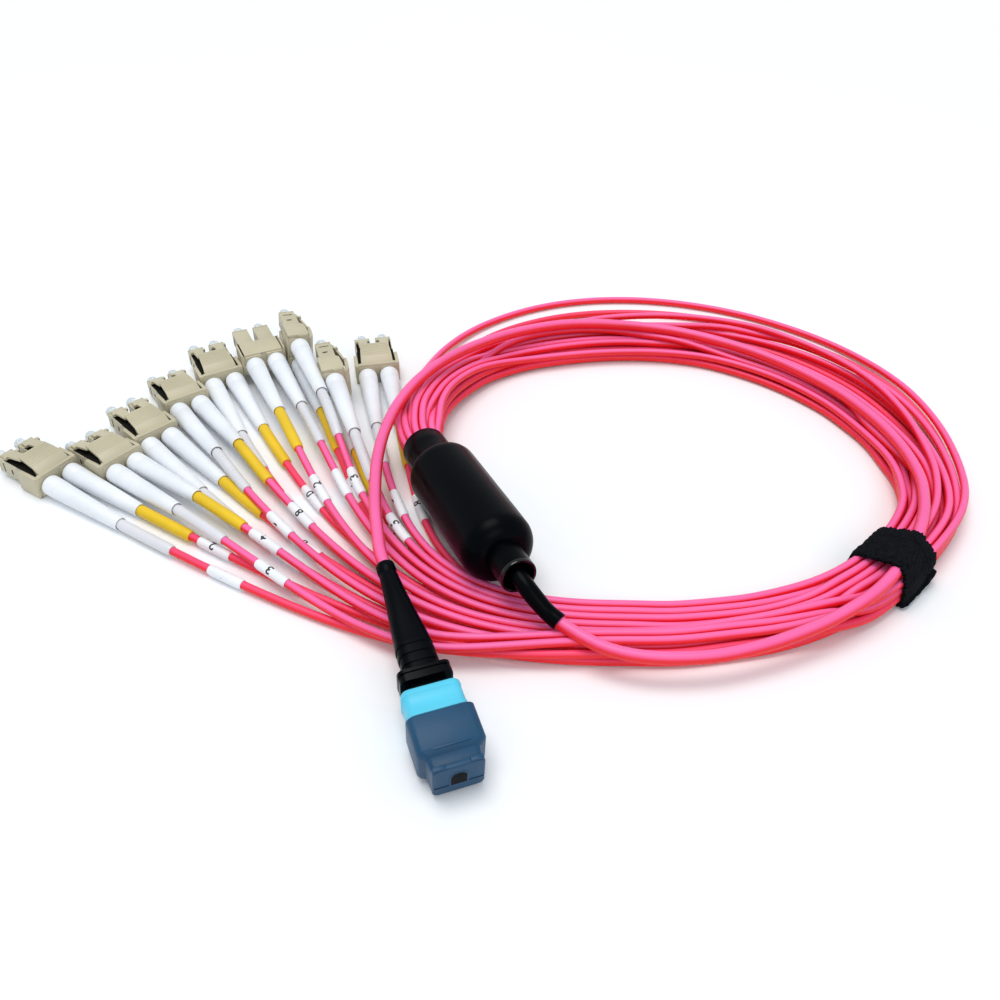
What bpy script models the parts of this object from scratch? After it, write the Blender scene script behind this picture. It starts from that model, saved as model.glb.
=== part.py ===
"""A coiled fibre breakout cable: one 3 mm trunk with a multi-fibre plug, a round
breakout housing, and eighteen 2 mm tails that end in nine duplex plugs.

Everything lies on the plane z = 0 and is in metres, +Z up.
"""

import math

import bmesh
import bpy
from mathutils import Matrix, Vector

MM = 0.001
GAP = 0.3 * MM  # between pieces that touch on the real cable

# Where the laid-out coil stands about the origin
COIL_CENTRE = Vector((60.9, 17.7, 0.0)) * MM

# Cords
TAIL_DIAMETER = 2.0 * MM
TRUNK_DIAMETER = 3.0 * MM
CORD_STEP = 2.6  # diameters between the points of a tube

# Breakout housing, from the neck of the tails to the neck of the trunk
HOUSING_START = Vector((-65.6, -0.6, 8.3)) * MM + COIL_CENTRE
HOUSING_HEADING = math.radians(-66.0)
HOUSING_RISE = math.radians(5.2)
TAIL_NECK_RADIUS = 5.85 * MM
TAIL_NECK_LENGTH = 9.5 * MM
TAIL_NECK_BORE = 5.2 * MM
TAIL_NECK_DEPTH = 3.0 * MM
SHOULDER_LENGTH = 3.5 * MM
BODY_RADIUS = 8.8 * MM
BODY_LENGTH = 33.0 * MM
BODY_ROUND = 5.0 * MM
TRUNK_NECK_RADIUS = 4.3 * MM
TRUNK_NECK_LENGTH = 7.5 * MM
TRUNK_NECK_BORE = 3.5 * MM
TRUNK_NECK_DEPTH = 4.0 * MM

# Shrink tube where the trunk leaves the housing
RELIEF_DIAMETER = 4.2 * MM

# Bundle of tails round the coil: angle in degrees about the coil's centre, then
# radius, half width, height of the middle and half height in millimetres
BUNDLE_ROUTE = (
    (174.8, 67.7, 4.7, 8.0, 4.7),
    (167.0, 69.2, 5.6, 7.3, 4.5),
    (157.0, 70.6, 6.4, 6.3, 4.1),
    (147.0, 71.0, 7.0, 5.4, 3.8),
    (137.0, 71.0, 8.0, 4.6, 3.4),
    (126.0, 69.5, 9.8, 4.0, 3.1),
    (112.0, 66.8, 11.2, 3.4, 2.8),
    (98.0, 64.8, 11.7, 3.0, 2.5),
    (83.0, 63.5, 11.7, 2.9, 2.4),
    (68.0, 62.7, 11.5, 2.9, 2.4),
    (50.0, 62.1, 11.4, 2.9, 2.4),
    (33.0, 62.4, 11.2, 2.9, 2.4),
    (19.0, 62.7, 10.2, 3.0, 2.5),
    (6.0, 63.4, 8.8, 3.2, 2.6),
    (-6.0, 63.9, 8.2, 3.4, 2.7),
    (-18.0, 63.6, 7.6, 4.0, 2.75),
    (-29.0, 61.9, 6.7, 4.6, 2.8),
    (-40.0, 60.5, 6.1, 4.8, 2.9),
    (-51.0, 60.1, 7.1, 4.4, 2.8),
    (-63.0, 60.0, 8.5, 3.5, 2.6),
    (-76.0, 59.8, 9.3, 3.0, 2.5),
    (-88.0, 60.5, 9.7, 2.9, 2.4),
    (-98.0, 62.6, 10.1, 2.9, 2.4),
    (-108.0, 65.2, 10.9, 2.9, 2.4),
)
BUNDLE_STATIONS = 46
BUNDLE_OUTLINE_POINTS = 32
BUNDLE_GROOVE = 0.3 * MM
BUNDLE_SQUARENESS = 3.0

# The one tail that stands off the outside of the coil: angle in degrees, radius and
# height in millimetres
STRAY_ROUTE = (
    (150.0, 79.4, 3.6),
    (143.5, 82.0, 2.7),
    (136.0, 86.4, 1.7),
    (126.0, 90.2, 1.2),
    (114.0, 91.6, 1.15),
    (104.0, 91.3, 1.15),
    (95.0, 90.4, 1.15),
    (84.0, 88.7, 1.15),
    (70.0, 86.4, 1.15),
    (57.0, 84.8, 1.15),
    (42.0, 83.2, 1.3),
    (30.0, 81.2, 1.9),
    (19.0, 78.3, 2.7),
    (8.0, 75.5, 3.3),
    (-2.0, 73.7, 3.5),
)

# Tails in the end face of the bundle
PAIRS = 9
LANE_PITCH = 2.41 * MM
LAYER_PITCH = 2.35 * MM
LOWER_LAYER_HEIGHT = 1.35 * MM
TAIL_POINTS = 16

# Hook-and-loop strap
STRAP_ANGLE = math.radians(-40.0)
STRAP_WIDTH = 13.0 * MM
STRAP_THICKNESS = 1.1 * MM
STRAP_POINTS = 24

# Trunk, from the shrink tube to the multi-fibre plug's boot, about the coil's centre
TRUNK_ROUTE = (
    (-33.4, -62.2, 8.3),
    (-29.0, -65.6, 7.6),
    (-22.6, -69.3, 7.25),
    (-14.0, -71.3, 7.25),
    (-2.5, -71.0, 7.25),
    (7.5, -68.6, 7.25),
    (16.5, -65.2, 7.4),
    (25.5, -60.9, 7.9),
    (34.5, -55.4, 8.9),
    (41.5, -48.9, 9.4),
    (48.0, -40.9, 9.5),
    (53.6, -31.0, 9.2),
    (57.2, -21.5, 8.6),
    (59.2, -11.0, 8.0),
    (58.3, 2.0, 7.6),
    (54.6, 14.6, 7.35),
    (47.6, 28.0, 7.25),
    (36.0, 41.5, 7.25),
    (23.0, 51.6, 7.25),
    (7.0, 59.4, 7.3),
    (-10.0, 62.4, 7.8),
    (-25.0, 61.2, 8.7),
    (-38.5, 55.6, 9.8),
    (-50.5, 46.6, 11.3),
    (-60.5, 36.0, 12.5),
    (-68.0, 24.4, 13.2),
    (-72.9, 12.0, 13.5),
    (-75.4, 0.0, 13.6),
    (-76.3, -11.5, 13.6),
    (-75.9, -22.6, 13.5),
    (-74.9, -32.5, 13.3),
    (-73.5, -41.0, 12.9),
)

# Multi-fibre plug, its boot and its caps, from the boot's thin end to the front
PLUG_START = Vector((-71.4, -49.0, 12.35)) * MM + COIL_CENTRE
PLUG_HEADING = math.radians(-70.5)
PLUG_DROP = math.radians(7.8)
BOOT_LENGTH = 29.5 * MM
BOOT_THIN_RADIUS = 2.1 * MM
BOOT_THICK_RADIUS = 3.7 * MM
BOOT_FLANGE_LENGTH = 3.0 * MM
BOOT_FLANGE_WIDTH = 11.0 * MM
BOOT_FLANGE_HEIGHT = 7.8 * MM
CORE_LENGTH = 16.0 * MM
CORE_WIDTH = 8.0 * MM
CORE_HEIGHT = 4.4 * MM
SLEEVE_SETBACK = 1.8 * MM
SLEEVE_LENGTH = 6.3 * MM
SLEEVE_WIDTH = 12.4 * MM
SLEEVE_HEIGHT = 7.8 * MM
CAP_LENGTH = 12.7 * MM
CAP_WIDTH = 13.8 * MM
CAP_HEIGHT = 10.0 * MM
CAP_NOSE_WIDTH = 10.4 * MM
CAP_NOSE_LENGTH = 4.6 * MM
FIT_CLEARANCE = 0.35 * MM

# Duplex plugs: x, y and height of the boots' roots about the coil's centre, then
# heading, nose-down pitch and roll in degrees
DUPLEX_PLUGS = (
    (-159.6, -6.6, 3.2, 147.0, -2.5, 0.0),
    (-144.0, -2.5, 3.6, 141.5, 3.0, 0.0),
    (-138.2, 9.8, 3.2, 134.6, -2.5, 0.0),
    (-133.5, 24.9, 3.6, 126.1, 3.0, 0.0),
    (-126.5, 38.0, 3.2, 118.6, -2.5, 0.0),
    (-114.8, 43.3, 6.6, 115.1, 0.0, 180.0),
    (-105.2, 46.4, 7.1, 112.0, 0.0, 96.0),
    (-92.4, 29.0, 6.6, 108.4, 0.0, 90.0),
    (-81.8, 42.0, 3.2, 101.2, 0.0, 0.0),
)

# Lane and layer of each pair's tails a and b in the bundle, then how far a tail keeps
# its boot's direction, how far it keeps the bundle's, and when it is down in its layer
TAIL_LANES = (
    ((0, 0), (1, 0), 1.32, 0.84, 0.45),
    ((0, 1), (1, 1), 1.66, 1.28, 0.4),
    ((2, 0), (3, 0), 1.26, 1.02, 0.12),
    ((2, 1), (3, 1), 1.26, 1.18, 0.12),
    ((4, 0), (5, 0), 1.26, 1.08, 0.39),
    ((5, 1), (4, 1), 1.4, 1.27, 0.34),
    ((6, 1), (6, 0), 1.2, 1.39, 0.29),
    ((7, 1), (7, 0), 1.76, 1.04, 0.27),
    ((8, 1), (8, 0), 1.55, 1.38, 0.25),
)
DUPLEX_PITCH = 6.25 * MM
DUPLEX_CLIP_WIDTH = 12.8 * MM
DUPLEX_PLUG_WIDTH = 4.6 * MM
DUPLEX_CAP_RADIUS = 1.6 * MM
DUPLEX_CAP_LENGTH = 3.2 * MM
TAIL_BOOT_LENGTH = 26.0 * MM
TAIL_BOOT_THICK_RADIUS = 2.7 * MM
TAIL_BOOT_THIN_RADIUS = 1.75 * MM

# Side views of a duplex plug, x forward and z up, in millimetres
PLUG_SIDE = (
    (0.0, -2.7),
    (8.6, -2.7),
    (8.6, -2.25),
    (17.0, -2.25),
    (17.0, 2.25),
    (15.6, 2.9),
    (9.4, 4.9),
    (9.0, 4.1),
    (13.2, 2.8),
    (13.8, 2.25),
    (8.6, 2.25),
    (8.6, 2.7),
    (0.0, 2.7),
)
CLIP_SIDE = (
    (0.5, -3.1),
    (7.8, -3.1),
    (7.8, 3.9),
    (11.0, 5.2),
    (10.8, 6.2),
    (6.6, 5.4),
    (2.0, 3.7),
    (0.5, 3.2),
)

# Colours: base colour, roughness
COLOURS = {
    "black_plastic": ((0.008, 0.009, 0.011), 0.38),
    "black_tube": ((0.010, 0.010, 0.011), 0.45),
    "black_rubber": ((0.012, 0.013, 0.015), 0.5),
    "pink_jacket": ((1.0, 0.12, 0.38), 0.45),
    "strap_fabric": ((0.008, 0.008, 0.009), 0.9),
    "aqua_plastic": ((0.08, 0.55, 0.76), 0.4),
    "slate_plastic": ((0.07, 0.09, 0.12), 0.45),
    "beige_plastic": ((0.62, 0.55, 0.42), 0.45),
    "white_rubber": ((0.82, 0.84, 0.88), 0.5),
}


def clear_scene():
    for item in list(bpy.data.objects):
        bpy.data.objects.remove(item, do_unlink=True)


def material(name):
    found = bpy.data.materials.get(name)
    if found:
        return found
    colour, roughness = COLOURS[name]
    made = bpy.data.materials.new(name)
    made.use_nodes = True
    shader = made.node_tree.nodes["Principled BSDF"]
    shader.inputs["Base Color"].default_value = (*colour, 1.0)
    shader.inputs["Roughness"].default_value = roughness
    shader.inputs["Metallic"].default_value = 0.0
    made.diffuse_color = (*colour, 1.0)
    return made


def new_object(name, mesh, colour, place=None, smooth_angle=35.0):
    item = bpy.data.objects.new(name, mesh)
    bpy.context.scene.collection.objects.link(item)
    if not mesh.materials:
        mesh.materials.append(material(colour))
    mesh.shade_smooth()
    mesh.set_sharp_from_angle(angle=math.radians(smooth_angle))
    if place is not None:
        item.matrix_world = place
    return item


def mesh_from(name, build):
    shape = bmesh.new()
    build(shape)
    bmesh.ops.recalc_face_normals(shape, faces=shape.faces)
    mesh = bpy.data.meshes.new(name)
    shape.to_mesh(mesh)
    shape.free()
    return mesh


def close_rings(shape, rings, closed=False):
    """Joins rings of points into one skin; its ends are capped unless it closes on itself."""
    loops = [[shape.verts.new(point) for point in ring] for ring in rings]
    count = len(loops[0])
    pairs = list(zip(loops, loops[1:]))
    if closed:
        pairs.append((loops[-1], loops[0]))
    for low, high in pairs:
        for i in range(count):
            j = (i + 1) % count
            shape.faces.new((low[i], low[j], high[j], high[i]))
    if not closed:
        shape.faces.new(list(reversed(loops[0])))
        shape.faces.new(loops[-1])


def turned(profile, sides):
    """A solid turned about X from (x, radius) points; a point of no radius closes an end."""
    def build(shape):
        rings = []
        for x, radius in profile:
            if radius <= 0.0:
                rings.append([shape.verts.new((x, 0.0, 0.0))])
                continue
            ring = []
            for i in range(sides):
                angle = 2.0 * math.pi * i / sides
                point = (x, radius * math.cos(angle), radius * math.sin(angle))
                ring.append(shape.verts.new(point))
            rings.append(ring)
        for low, high in zip(rings, rings[1:]):
            for i in range(sides):
                j = (i + 1) % sides
                corners = [low[i % len(low)], low[j % len(low)], high[j % len(high)], high[i % len(high)]]
                unique = list(dict.fromkeys(corners))
                if len(unique) > 2:
                    shape.faces.new(unique)
    return build


def extruded(outline, half_width, offset=0.0):
    """A side view in millimetres given a width along Y."""
    def build(shape):
        rings = []
        for y in (offset - half_width, offset + half_width):
            rings.append([Vector((x * MM, y, z * MM)) for x, z in outline])
        close_rings(shape, rings)
    return build


def rounded_section(width, height, corner, steps=3):
    """Points of a rectangle with round corners, in the YZ plane."""
    points = []
    for quarter, (sy, sz) in enumerate(((1, 1), (-1, 1), (-1, -1), (1, -1))):
        for i in range(steps + 1):
            angle = math.radians(90.0 * quarter + 90.0 * i / steps)
            y = sy * (width / 2 - corner) + corner * math.cos(angle)
            z = sz * (height / 2 - corner) + corner * math.sin(angle)
            points.append((y, z))
    return points


def frame_along(direction):
    """Turns X to a direction and keeps Y level."""
    forward = direction.normalized()
    left = Vector((0.0, 0.0, 1.0)).cross(forward).normalized()
    up = forward.cross(left)
    return Matrix((forward, left, up)).transposed().to_4x4()


def heading(angle, rise=0.0):
    return Vector((math.cos(angle) * math.cos(rise), math.sin(angle) * math.cos(rise), math.sin(rise)))


def smooth_curve(points, per_span=12):
    """A smooth curve through points of any number of coordinates."""
    padded = [[2 * a - b for a, b in zip(points[0], points[1])]]
    padded += [list(point) for point in points]
    padded.append([2 * a - b for a, b in zip(points[-1], points[-2])])
    curve = []
    for k in range(1, len(padded) - 2):
        p0, p1, p2, p3 = padded[k - 1:k + 3]
        for i in range(per_span):
            t = i / per_span
            point = []
            for a, b, c, d in zip(p0, p1, p2, p3):
                bend = (2 * a - 5 * b + 4 * c - d) * t * t + (3 * b - a - 3 * c + d) * t ** 3
                point.append(0.5 * (2 * b + (c - a) * t + bend))
            curve.append(point)
    curve.append(list(points[-1]))
    return curve


def spaced(curve, count):
    """The same curve read at evenly spaced places."""
    along = [0.0]
    for a, b in zip(curve, curve[1:]):
        along.append(along[-1] + math.dist(a[:3], b[:3]))
    places = []
    k = 0
    for i in range(count):
        want = along[-1] * i / (count - 1)
        while k < len(along) - 2 and along[k + 1] < want:
            k += 1
        share = (want - along[k]) / (along[k + 1] - along[k])
        places.append([a + (b - a) * share for a, b in zip(curve[k], curve[k + 1])])
    return places


def length_of(curve):
    return sum(math.dist(a[:3], b[:3]) for a, b in zip(curve, curve[1:]))


def tube(name, points, diameter, colour):
    """A plain cord: a round tube along points."""
    data = bpy.data.curves.new(name, "CURVE")
    data.dimensions = "3D"
    data.bevel_depth = diameter / 2
    data.bevel_resolution = 2
    data.use_fill_caps = True
    spline = data.splines.new("POLY")
    spline.points.add(len(points) - 1)
    for target, point in zip(spline.points, points):
        target.co = (*point[:3], 1.0)
    data.materials.append(material(colour))
    item = bpy.data.objects.new(name, data)
    bpy.context.scene.collection.objects.link(item)
    return item


def united(name, builds):
    """One closed mesh from several overlapping solids."""
    parts = []
    for i, build in enumerate(builds):
        part = bpy.data.objects.new(f"{name}_{i}", mesh_from(f"{name}_{i}", build))
        bpy.context.scene.collection.objects.link(part)
        parts.append(part)
    base = parts[0]
    for other in parts[1:]:
        join = base.modifiers.new(other.name, "BOOLEAN")
        join.operation = "UNION"
        join.solver = "EXACT"
        join.object = other
    return settled(name, parts)


def settled(name, parts):
    """The first part's mesh with its modifiers applied; the parts are removed."""
    bpy.context.view_layer.update()
    graph = bpy.context.evaluated_depsgraph_get()
    mesh = bpy.data.meshes.new_from_object(parts[0].evaluated_get(graph))
    mesh.name = name
    for part in parts:
        bpy.data.objects.remove(part, do_unlink=True)
    return mesh


def bundle_point(row):
    """Turns a row of the bundle's route into x, y, z, half width, half height in metres."""
    angle, radius, half_width, middle, half_height = row
    x = COIL_CENTRE.x + radius * MM * math.cos(math.radians(angle))
    y = COIL_CENTRE.y + radius * MM * math.sin(math.radians(angle))
    return [x, y, middle * MM, half_width * MM, half_height * MM]


def bundle_path():
    """The bundle's stations, from inside the housing's neck to the start of the fan."""
    forward = heading(HOUSING_HEADING, HOUSING_RISE)
    rows = []
    for along in (TAIL_NECK_DEPTH - GAP, 0.0, -2.5 * MM):
        point = HOUSING_START + forward * along
        radius = TAIL_NECK_BORE - 2 * GAP
        rows.append([*point, radius, radius])
    rows += [bundle_point(row) for row in BUNDLE_ROUTE]
    return smooth_curve(rows)


def section_at(path, index):
    """The place, side and up directions and half sizes of the bundle at a station."""
    here = Vector(path[index][:3])
    before = Vector(path[max(index - 1, 0)][:3])
    after = Vector(path[min(index + 1, len(path) - 1)][:3])
    forward = (after - before).normalized()
    side = Vector((0.0, 0.0, 1.0)).cross(forward).normalized()
    up = forward.cross(side)
    return here, forward, side, up, path[index][3], path[index][4]


def bundle_outline(half_width, half_height, count, groove=0.0, grow=0.0):
    """A rounded outline, with a groove between each two strands."""
    roundness = half_height / half_width
    power = 2.0 + (BUNDLE_SQUARENESS - 2.0) * min(1.0, 2.0 * (1.0 - roundness))
    points = []
    for i in range(count):
        angle = 2.0 * math.pi * i / count
        cosine = math.cos(angle)
        sine = math.sin(angle)
        depth = groove if i % 2 else 0.0
        across = (half_width + grow - depth) * math.copysign(abs(cosine) ** (2 / power), cosine)
        height = (half_height + grow - depth) * math.copysign(abs(sine) ** (2 / power), sine)
        points.append((across, height))
    return points


def make_bundle():
    path = spaced(bundle_path(), BUNDLE_STATIONS)
    rings = []
    for i in range(len(path)):
        here, _, side, up, half_width, half_height = section_at(path, i)
        outline = bundle_outline(half_width, half_height, BUNDLE_OUTLINE_POINTS, BUNDLE_GROOVE)
        rings.append([here + side * across + up * height for across, height in outline])
    mesh = mesh_from("coil_bundle", lambda shape: close_rings(shape, rings))
    new_object("coil_bundle", mesh, "pink_jacket", smooth_angle=60.0)


def make_stray_tail():
    rows = []
    for angle, radius, height in STRAY_ROUTE:
        place = COIL_CENTRE + heading(math.radians(angle)) * radius * MM
        rows.append([place.x, place.y, height * MM])
    curve = smooth_curve(rows)
    count = round(length_of(curve) / (CORD_STEP * TAIL_DIAMETER))
    tube("tail_stray_loop", spaced(curve, count), TAIL_DIAMETER, "pink_jacket")


def trunk_points():
    rows = []
    for x, y, z in TRUNK_ROUTE:
        rows.append([COIL_CENTRE.x + x * MM, COIL_CENTRE.y + y * MM, z * MM])
    forward = heading(PLUG_HEADING, -PLUG_DROP)
    rows.append([*(PLUG_START - forward * 4.0 * MM)])
    rows.append([*(PLUG_START - forward * GAP)])
    return smooth_curve(rows)


def make_trunk():
    curve = trunk_points()
    count = round(length_of(curve) / (CORD_STEP * TRUNK_DIAMETER))
    tube("trunk_cord", spaced(curve, min(count, 78)), TRUNK_DIAMETER, "pink_jacket")


def hull_2d(points):
    """The points round the outside, anticlockwise."""
    ordered = sorted(points)
    halves = []
    for run in (ordered, list(reversed(ordered))):
        half = []
        for point in run:
            while len(half) > 1:
                ax, ay = half[-1][0] - half[-2][0], half[-1][1] - half[-2][1]
                bx, by = point[0] - half[-2][0], point[1] - half[-2][1]
                if ax * by - ay * bx > 0:
                    break
                half.pop()
            half.append(point)
        halves += half[:-1]
    return halves


def even_outline(points, count):
    """A closed outline read at evenly spaced places from its rightmost point."""
    start = max(range(len(points)), key=lambda i: points[i][0])
    ring = points[start:] + points[:start] + [points[start]]
    flat = [[x, y, 0.0] for x, y in ring]
    return [(x, y) for x, y, _ in spaced(flat, count + 1)[:-1]]


def make_strap():
    path = spaced(bundle_path(), 400)
    trunk = [Vector(point) for point in spaced(trunk_points(), 400)]
    centre = COIL_CENTRE + Vector((math.cos(STRAP_ANGLE), math.sin(STRAP_ANGLE), 0.0)) * 61.7 * MM
    middle = min(range(len(path)), key=lambda i: (Vector(path[i][:2]) - centre.xy).length)
    station = length_of(path) / (len(path) - 1)
    reach = STRAP_WIDTH / 2 / station
    inner_rings = []
    outer_rings = []
    for share in (-1.0, -0.33, 0.33, 1.0):
        here, forward, side, up, half_width, half_height = section_at(path, middle + round(share * reach))
        crossing = min(trunk, key=lambda point: abs((point - here).dot(forward)) + (point - here).length)
        offset = crossing - here
        cord = (offset.dot(side), offset.dot(up))
        for rings, grow in ((inner_rings, 1.2 * GAP), (outer_rings, 1.2 * GAP + STRAP_THICKNESS)):
            points = bundle_outline(half_width, half_height, 48, grow=grow)
            for i in range(24):
                angle = 2.0 * math.pi * i / 24
                radius = TRUNK_DIAMETER / 2 + grow
                points.append((cord[0] + radius * math.cos(angle), cord[1] + radius * math.sin(angle)))
            outline = even_outline(hull_2d(points), STRAP_POINTS)
            rings.append([here + side * across + up * height for across, height in outline])
    rings = inner_rings + list(reversed(outer_rings))
    mesh = mesh_from("tie_strap", lambda shape: close_rings(shape, rings, closed=True))
    new_object("tie_strap", mesh, "strap_fabric")


def housing_profile():
    """The housing's outline: out along its skin, then back down into its trunk neck's bore."""
    shoulder = TAIL_NECK_LENGTH + SHOULDER_LENGTH
    body_end = shoulder + BODY_LENGTH
    rounded_end = body_end + BODY_ROUND
    end = rounded_end + TRUNK_NECK_LENGTH
    profile = [
        (TAIL_NECK_DEPTH, 0.0),
        (TAIL_NECK_DEPTH, TAIL_NECK_BORE),
        (0.0, TAIL_NECK_BORE),
        (0.0, TAIL_NECK_RADIUS),
        (TAIL_NECK_LENGTH, TAIL_NECK_RADIUS),
        (shoulder - 0.8 * MM, BODY_RADIUS - 0.7 * MM),
        (shoulder + 0.8 * MM, BODY_RADIUS),
    ]
    fall = BODY_RADIUS - TRUNK_NECK_RADIUS
    for i in range(6):
        angle = math.radians(90.0 * i / 5)
        x = body_end + BODY_ROUND * math.sin(angle)
        profile.append((x, TRUNK_NECK_RADIUS + fall * math.cos(angle)))
    profile += [
        (end, TRUNK_NECK_RADIUS - 0.2 * MM),
        (end, TRUNK_NECK_BORE),
        (end - TRUNK_NECK_DEPTH, TRUNK_NECK_BORE),
        (end - TRUNK_NECK_DEPTH, 0.0),
    ]
    return profile


def make_housing():
    mesh = mesh_from("breakout_housing", turned(housing_profile(), 28))
    forward = heading(HOUSING_HEADING, HOUSING_RISE)
    place = Matrix.Translation(HOUSING_START) @ frame_along(forward)
    new_object("breakout_housing", mesh, "black_plastic", place)


def housing_length():
    return TAIL_NECK_LENGTH + SHOULDER_LENGTH + BODY_LENGTH + BODY_ROUND + TRUNK_NECK_LENGTH


def make_relief():
    """The shrink tube bends from the neck's bore to the start of the trunk."""
    forward = heading(HOUSING_HEADING, HOUSING_RISE)
    mouth = HOUSING_START + forward * housing_length()
    curve = trunk_points()
    first = Vector(curve[0])
    away = (Vector(curve[1]) - first).normalized()
    rows = [
        [*(mouth - forward * (TRUNK_NECK_DEPTH - GAP))],
        [*(mouth - forward * TRUNK_NECK_DEPTH / 2)],
        [*mouth],
        [*(mouth + forward * TRUNK_NECK_DEPTH / 2)],
        [*(first - away * 4.0 * MM)],
        [*(first - away * GAP)],
    ]
    tube("trunk_strain_relief", spaced(smooth_curve(rows), 11), RELIEF_DIAMETER, "black_tube")


def make_multi_fibre_plug():
    forward = heading(PLUG_HEADING, -PLUG_DROP)
    place = Matrix.Translation(PLUG_START) @ frame_along(forward)
    flange_end = BOOT_LENGTH + BOOT_FLANGE_LENGTH

    boot = mesh_from("mpo_boot", turned((
        (0.0, 0.0),
        (0.0, BOOT_THIN_RADIUS),
        (BOOT_LENGTH * 0.75, BOOT_THICK_RADIUS),
        (BOOT_LENGTH - GAP, BOOT_THICK_RADIUS),
        (BOOT_LENGTH - GAP, 0.0),
    ), 16))
    new_object("mpo_boot", boot, "black_rubber", place)

    def core(shape):
        flange = rounded_section(BOOT_FLANGE_WIDTH, BOOT_FLANGE_HEIGHT, 1.6 * MM)
        neck = rounded_section(CORE_WIDTH, CORE_HEIGHT, 0.8 * MM)
        stations = (
            (BOOT_LENGTH, flange),
            (flange_end, flange),
            (flange_end, neck),
            (flange_end + CORE_LENGTH, neck),
        )
        close_rings(shape, [[Vector((x, y, z)) for y, z in ring] for x, ring in stations])
    new_object("mpo_body", mesh_from("mpo_body", core), "black_plastic", place)

    sleeve_start = flange_end + SLEEVE_SETBACK
    sleeve_end = sleeve_start + SLEEVE_LENGTH
    inner_width = CORE_WIDTH + 2 * FIT_CLEARANCE
    inner_height = CORE_HEIGHT + 2 * FIT_CLEARANCE

    def ring_block(start, end, width, height, corner):
        def build(shape):
            outer = rounded_section(width, height, corner)
            inner = rounded_section(inner_width, inner_height, 0.9 * MM)
            stations = ((start, outer), (end, outer), (end, inner), (start, inner))
            rings = [[Vector((x, y, z)) for y, z in ring] for x, ring in stations]
            close_rings(shape, rings, closed=True)
        return build
    sleeve = mesh_from("mpo_sleeve", ring_block(sleeve_start, sleeve_end, SLEEVE_WIDTH, SLEEVE_HEIGHT, 1.8 * MM))
    new_object("mpo_sleeve", sleeve, "aqua_plastic", place)

    cap_start = sleeve_end + GAP
    cap_end = cap_start + CAP_LENGTH
    core_end = flange_end + CORE_LENGTH

    def cap(shape):
        body = rounded_section(CAP_WIDTH, CAP_HEIGHT, 1.5 * MM)
        nose = rounded_section(CAP_NOSE_WIDTH, CAP_HEIGHT - 0.8 * MM, 1.2 * MM)
        inner = rounded_section(inner_width, inner_height, 0.9 * MM)
        stations = (
            (core_end + GAP, inner),
            (cap_start, inner),
            (cap_start, body),
            (cap_end - CAP_NOSE_LENGTH, body),
            (cap_end - CAP_NOSE_LENGTH + 1.2 * MM, nose),
            (cap_end, nose),
        )
        close_rings(shape, [[Vector((x, y, z)) for y, z in ring] for x, ring in stations])
    new_object("mpo_dust_cap", mesh_from("mpo_dust_cap", cap), "slate_plastic", place)


def duplex_mesh():
    """Two plugs with their latches and dust caps, held by one clip."""
    builds = [extruded(CLIP_SIDE, DUPLEX_CLIP_WIDTH / 2)]
    for side in (-1, 1):
        offset = side * DUPLEX_PITCH / 2
        builds.append(extruded(PLUG_SIDE, DUPLEX_PLUG_WIDTH / 2, offset))

        def cap(shape, offset=offset):
            front = PLUG_SIDE[3][0] * MM
            ends = (front - 1.0 * MM, front + DUPLEX_CAP_LENGTH)
            turned([(ends[0], 0.0), (ends[0], DUPLEX_CAP_RADIUS), (ends[1], DUPLEX_CAP_RADIUS), (ends[1], 0.0)], 8)(shape)
            bmesh.ops.translate(shape, verts=shape.verts, vec=(0.0, offset, 0.0))
        builds.append(cap)
    return united("duplex_plug", builds)


def duplex_place(row):
    x, y, z, angle, pitch, roll = row
    place = Matrix.Translation(COIL_CENTRE + Vector((x, y, z)) * MM)
    for turn, axis in ((angle, "Z"), (pitch, "Y"), (roll, "X")):
        place = place @ Matrix.Rotation(math.radians(turn), 4, axis)
    return place


def make_duplex_plugs():
    plug_mesh = duplex_mesh()
    boot_mesh = mesh_from("tail_boot", turned((
        (-GAP, 0.0),
        (-GAP, TAIL_BOOT_THICK_RADIUS),
        (-GAP - TAIL_BOOT_LENGTH, TAIL_BOOT_THIN_RADIUS),
        (-GAP - TAIL_BOOT_LENGTH, 0.0),
    ), 12))
    for k, row in enumerate(DUPLEX_PLUGS, start=1):
        place = duplex_place(row)
        new_object(f"lc_duplex_{k}", plug_mesh, "beige_plastic", place)
        for letter, side in (("a", 1), ("b", -1)):
            shift = Matrix.Translation((0.0, side * DUPLEX_PITCH / 2, 0.0))
            new_object(f"lc_boot_{k}{letter}", boot_mesh, "white_rubber", place @ shift)


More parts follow.
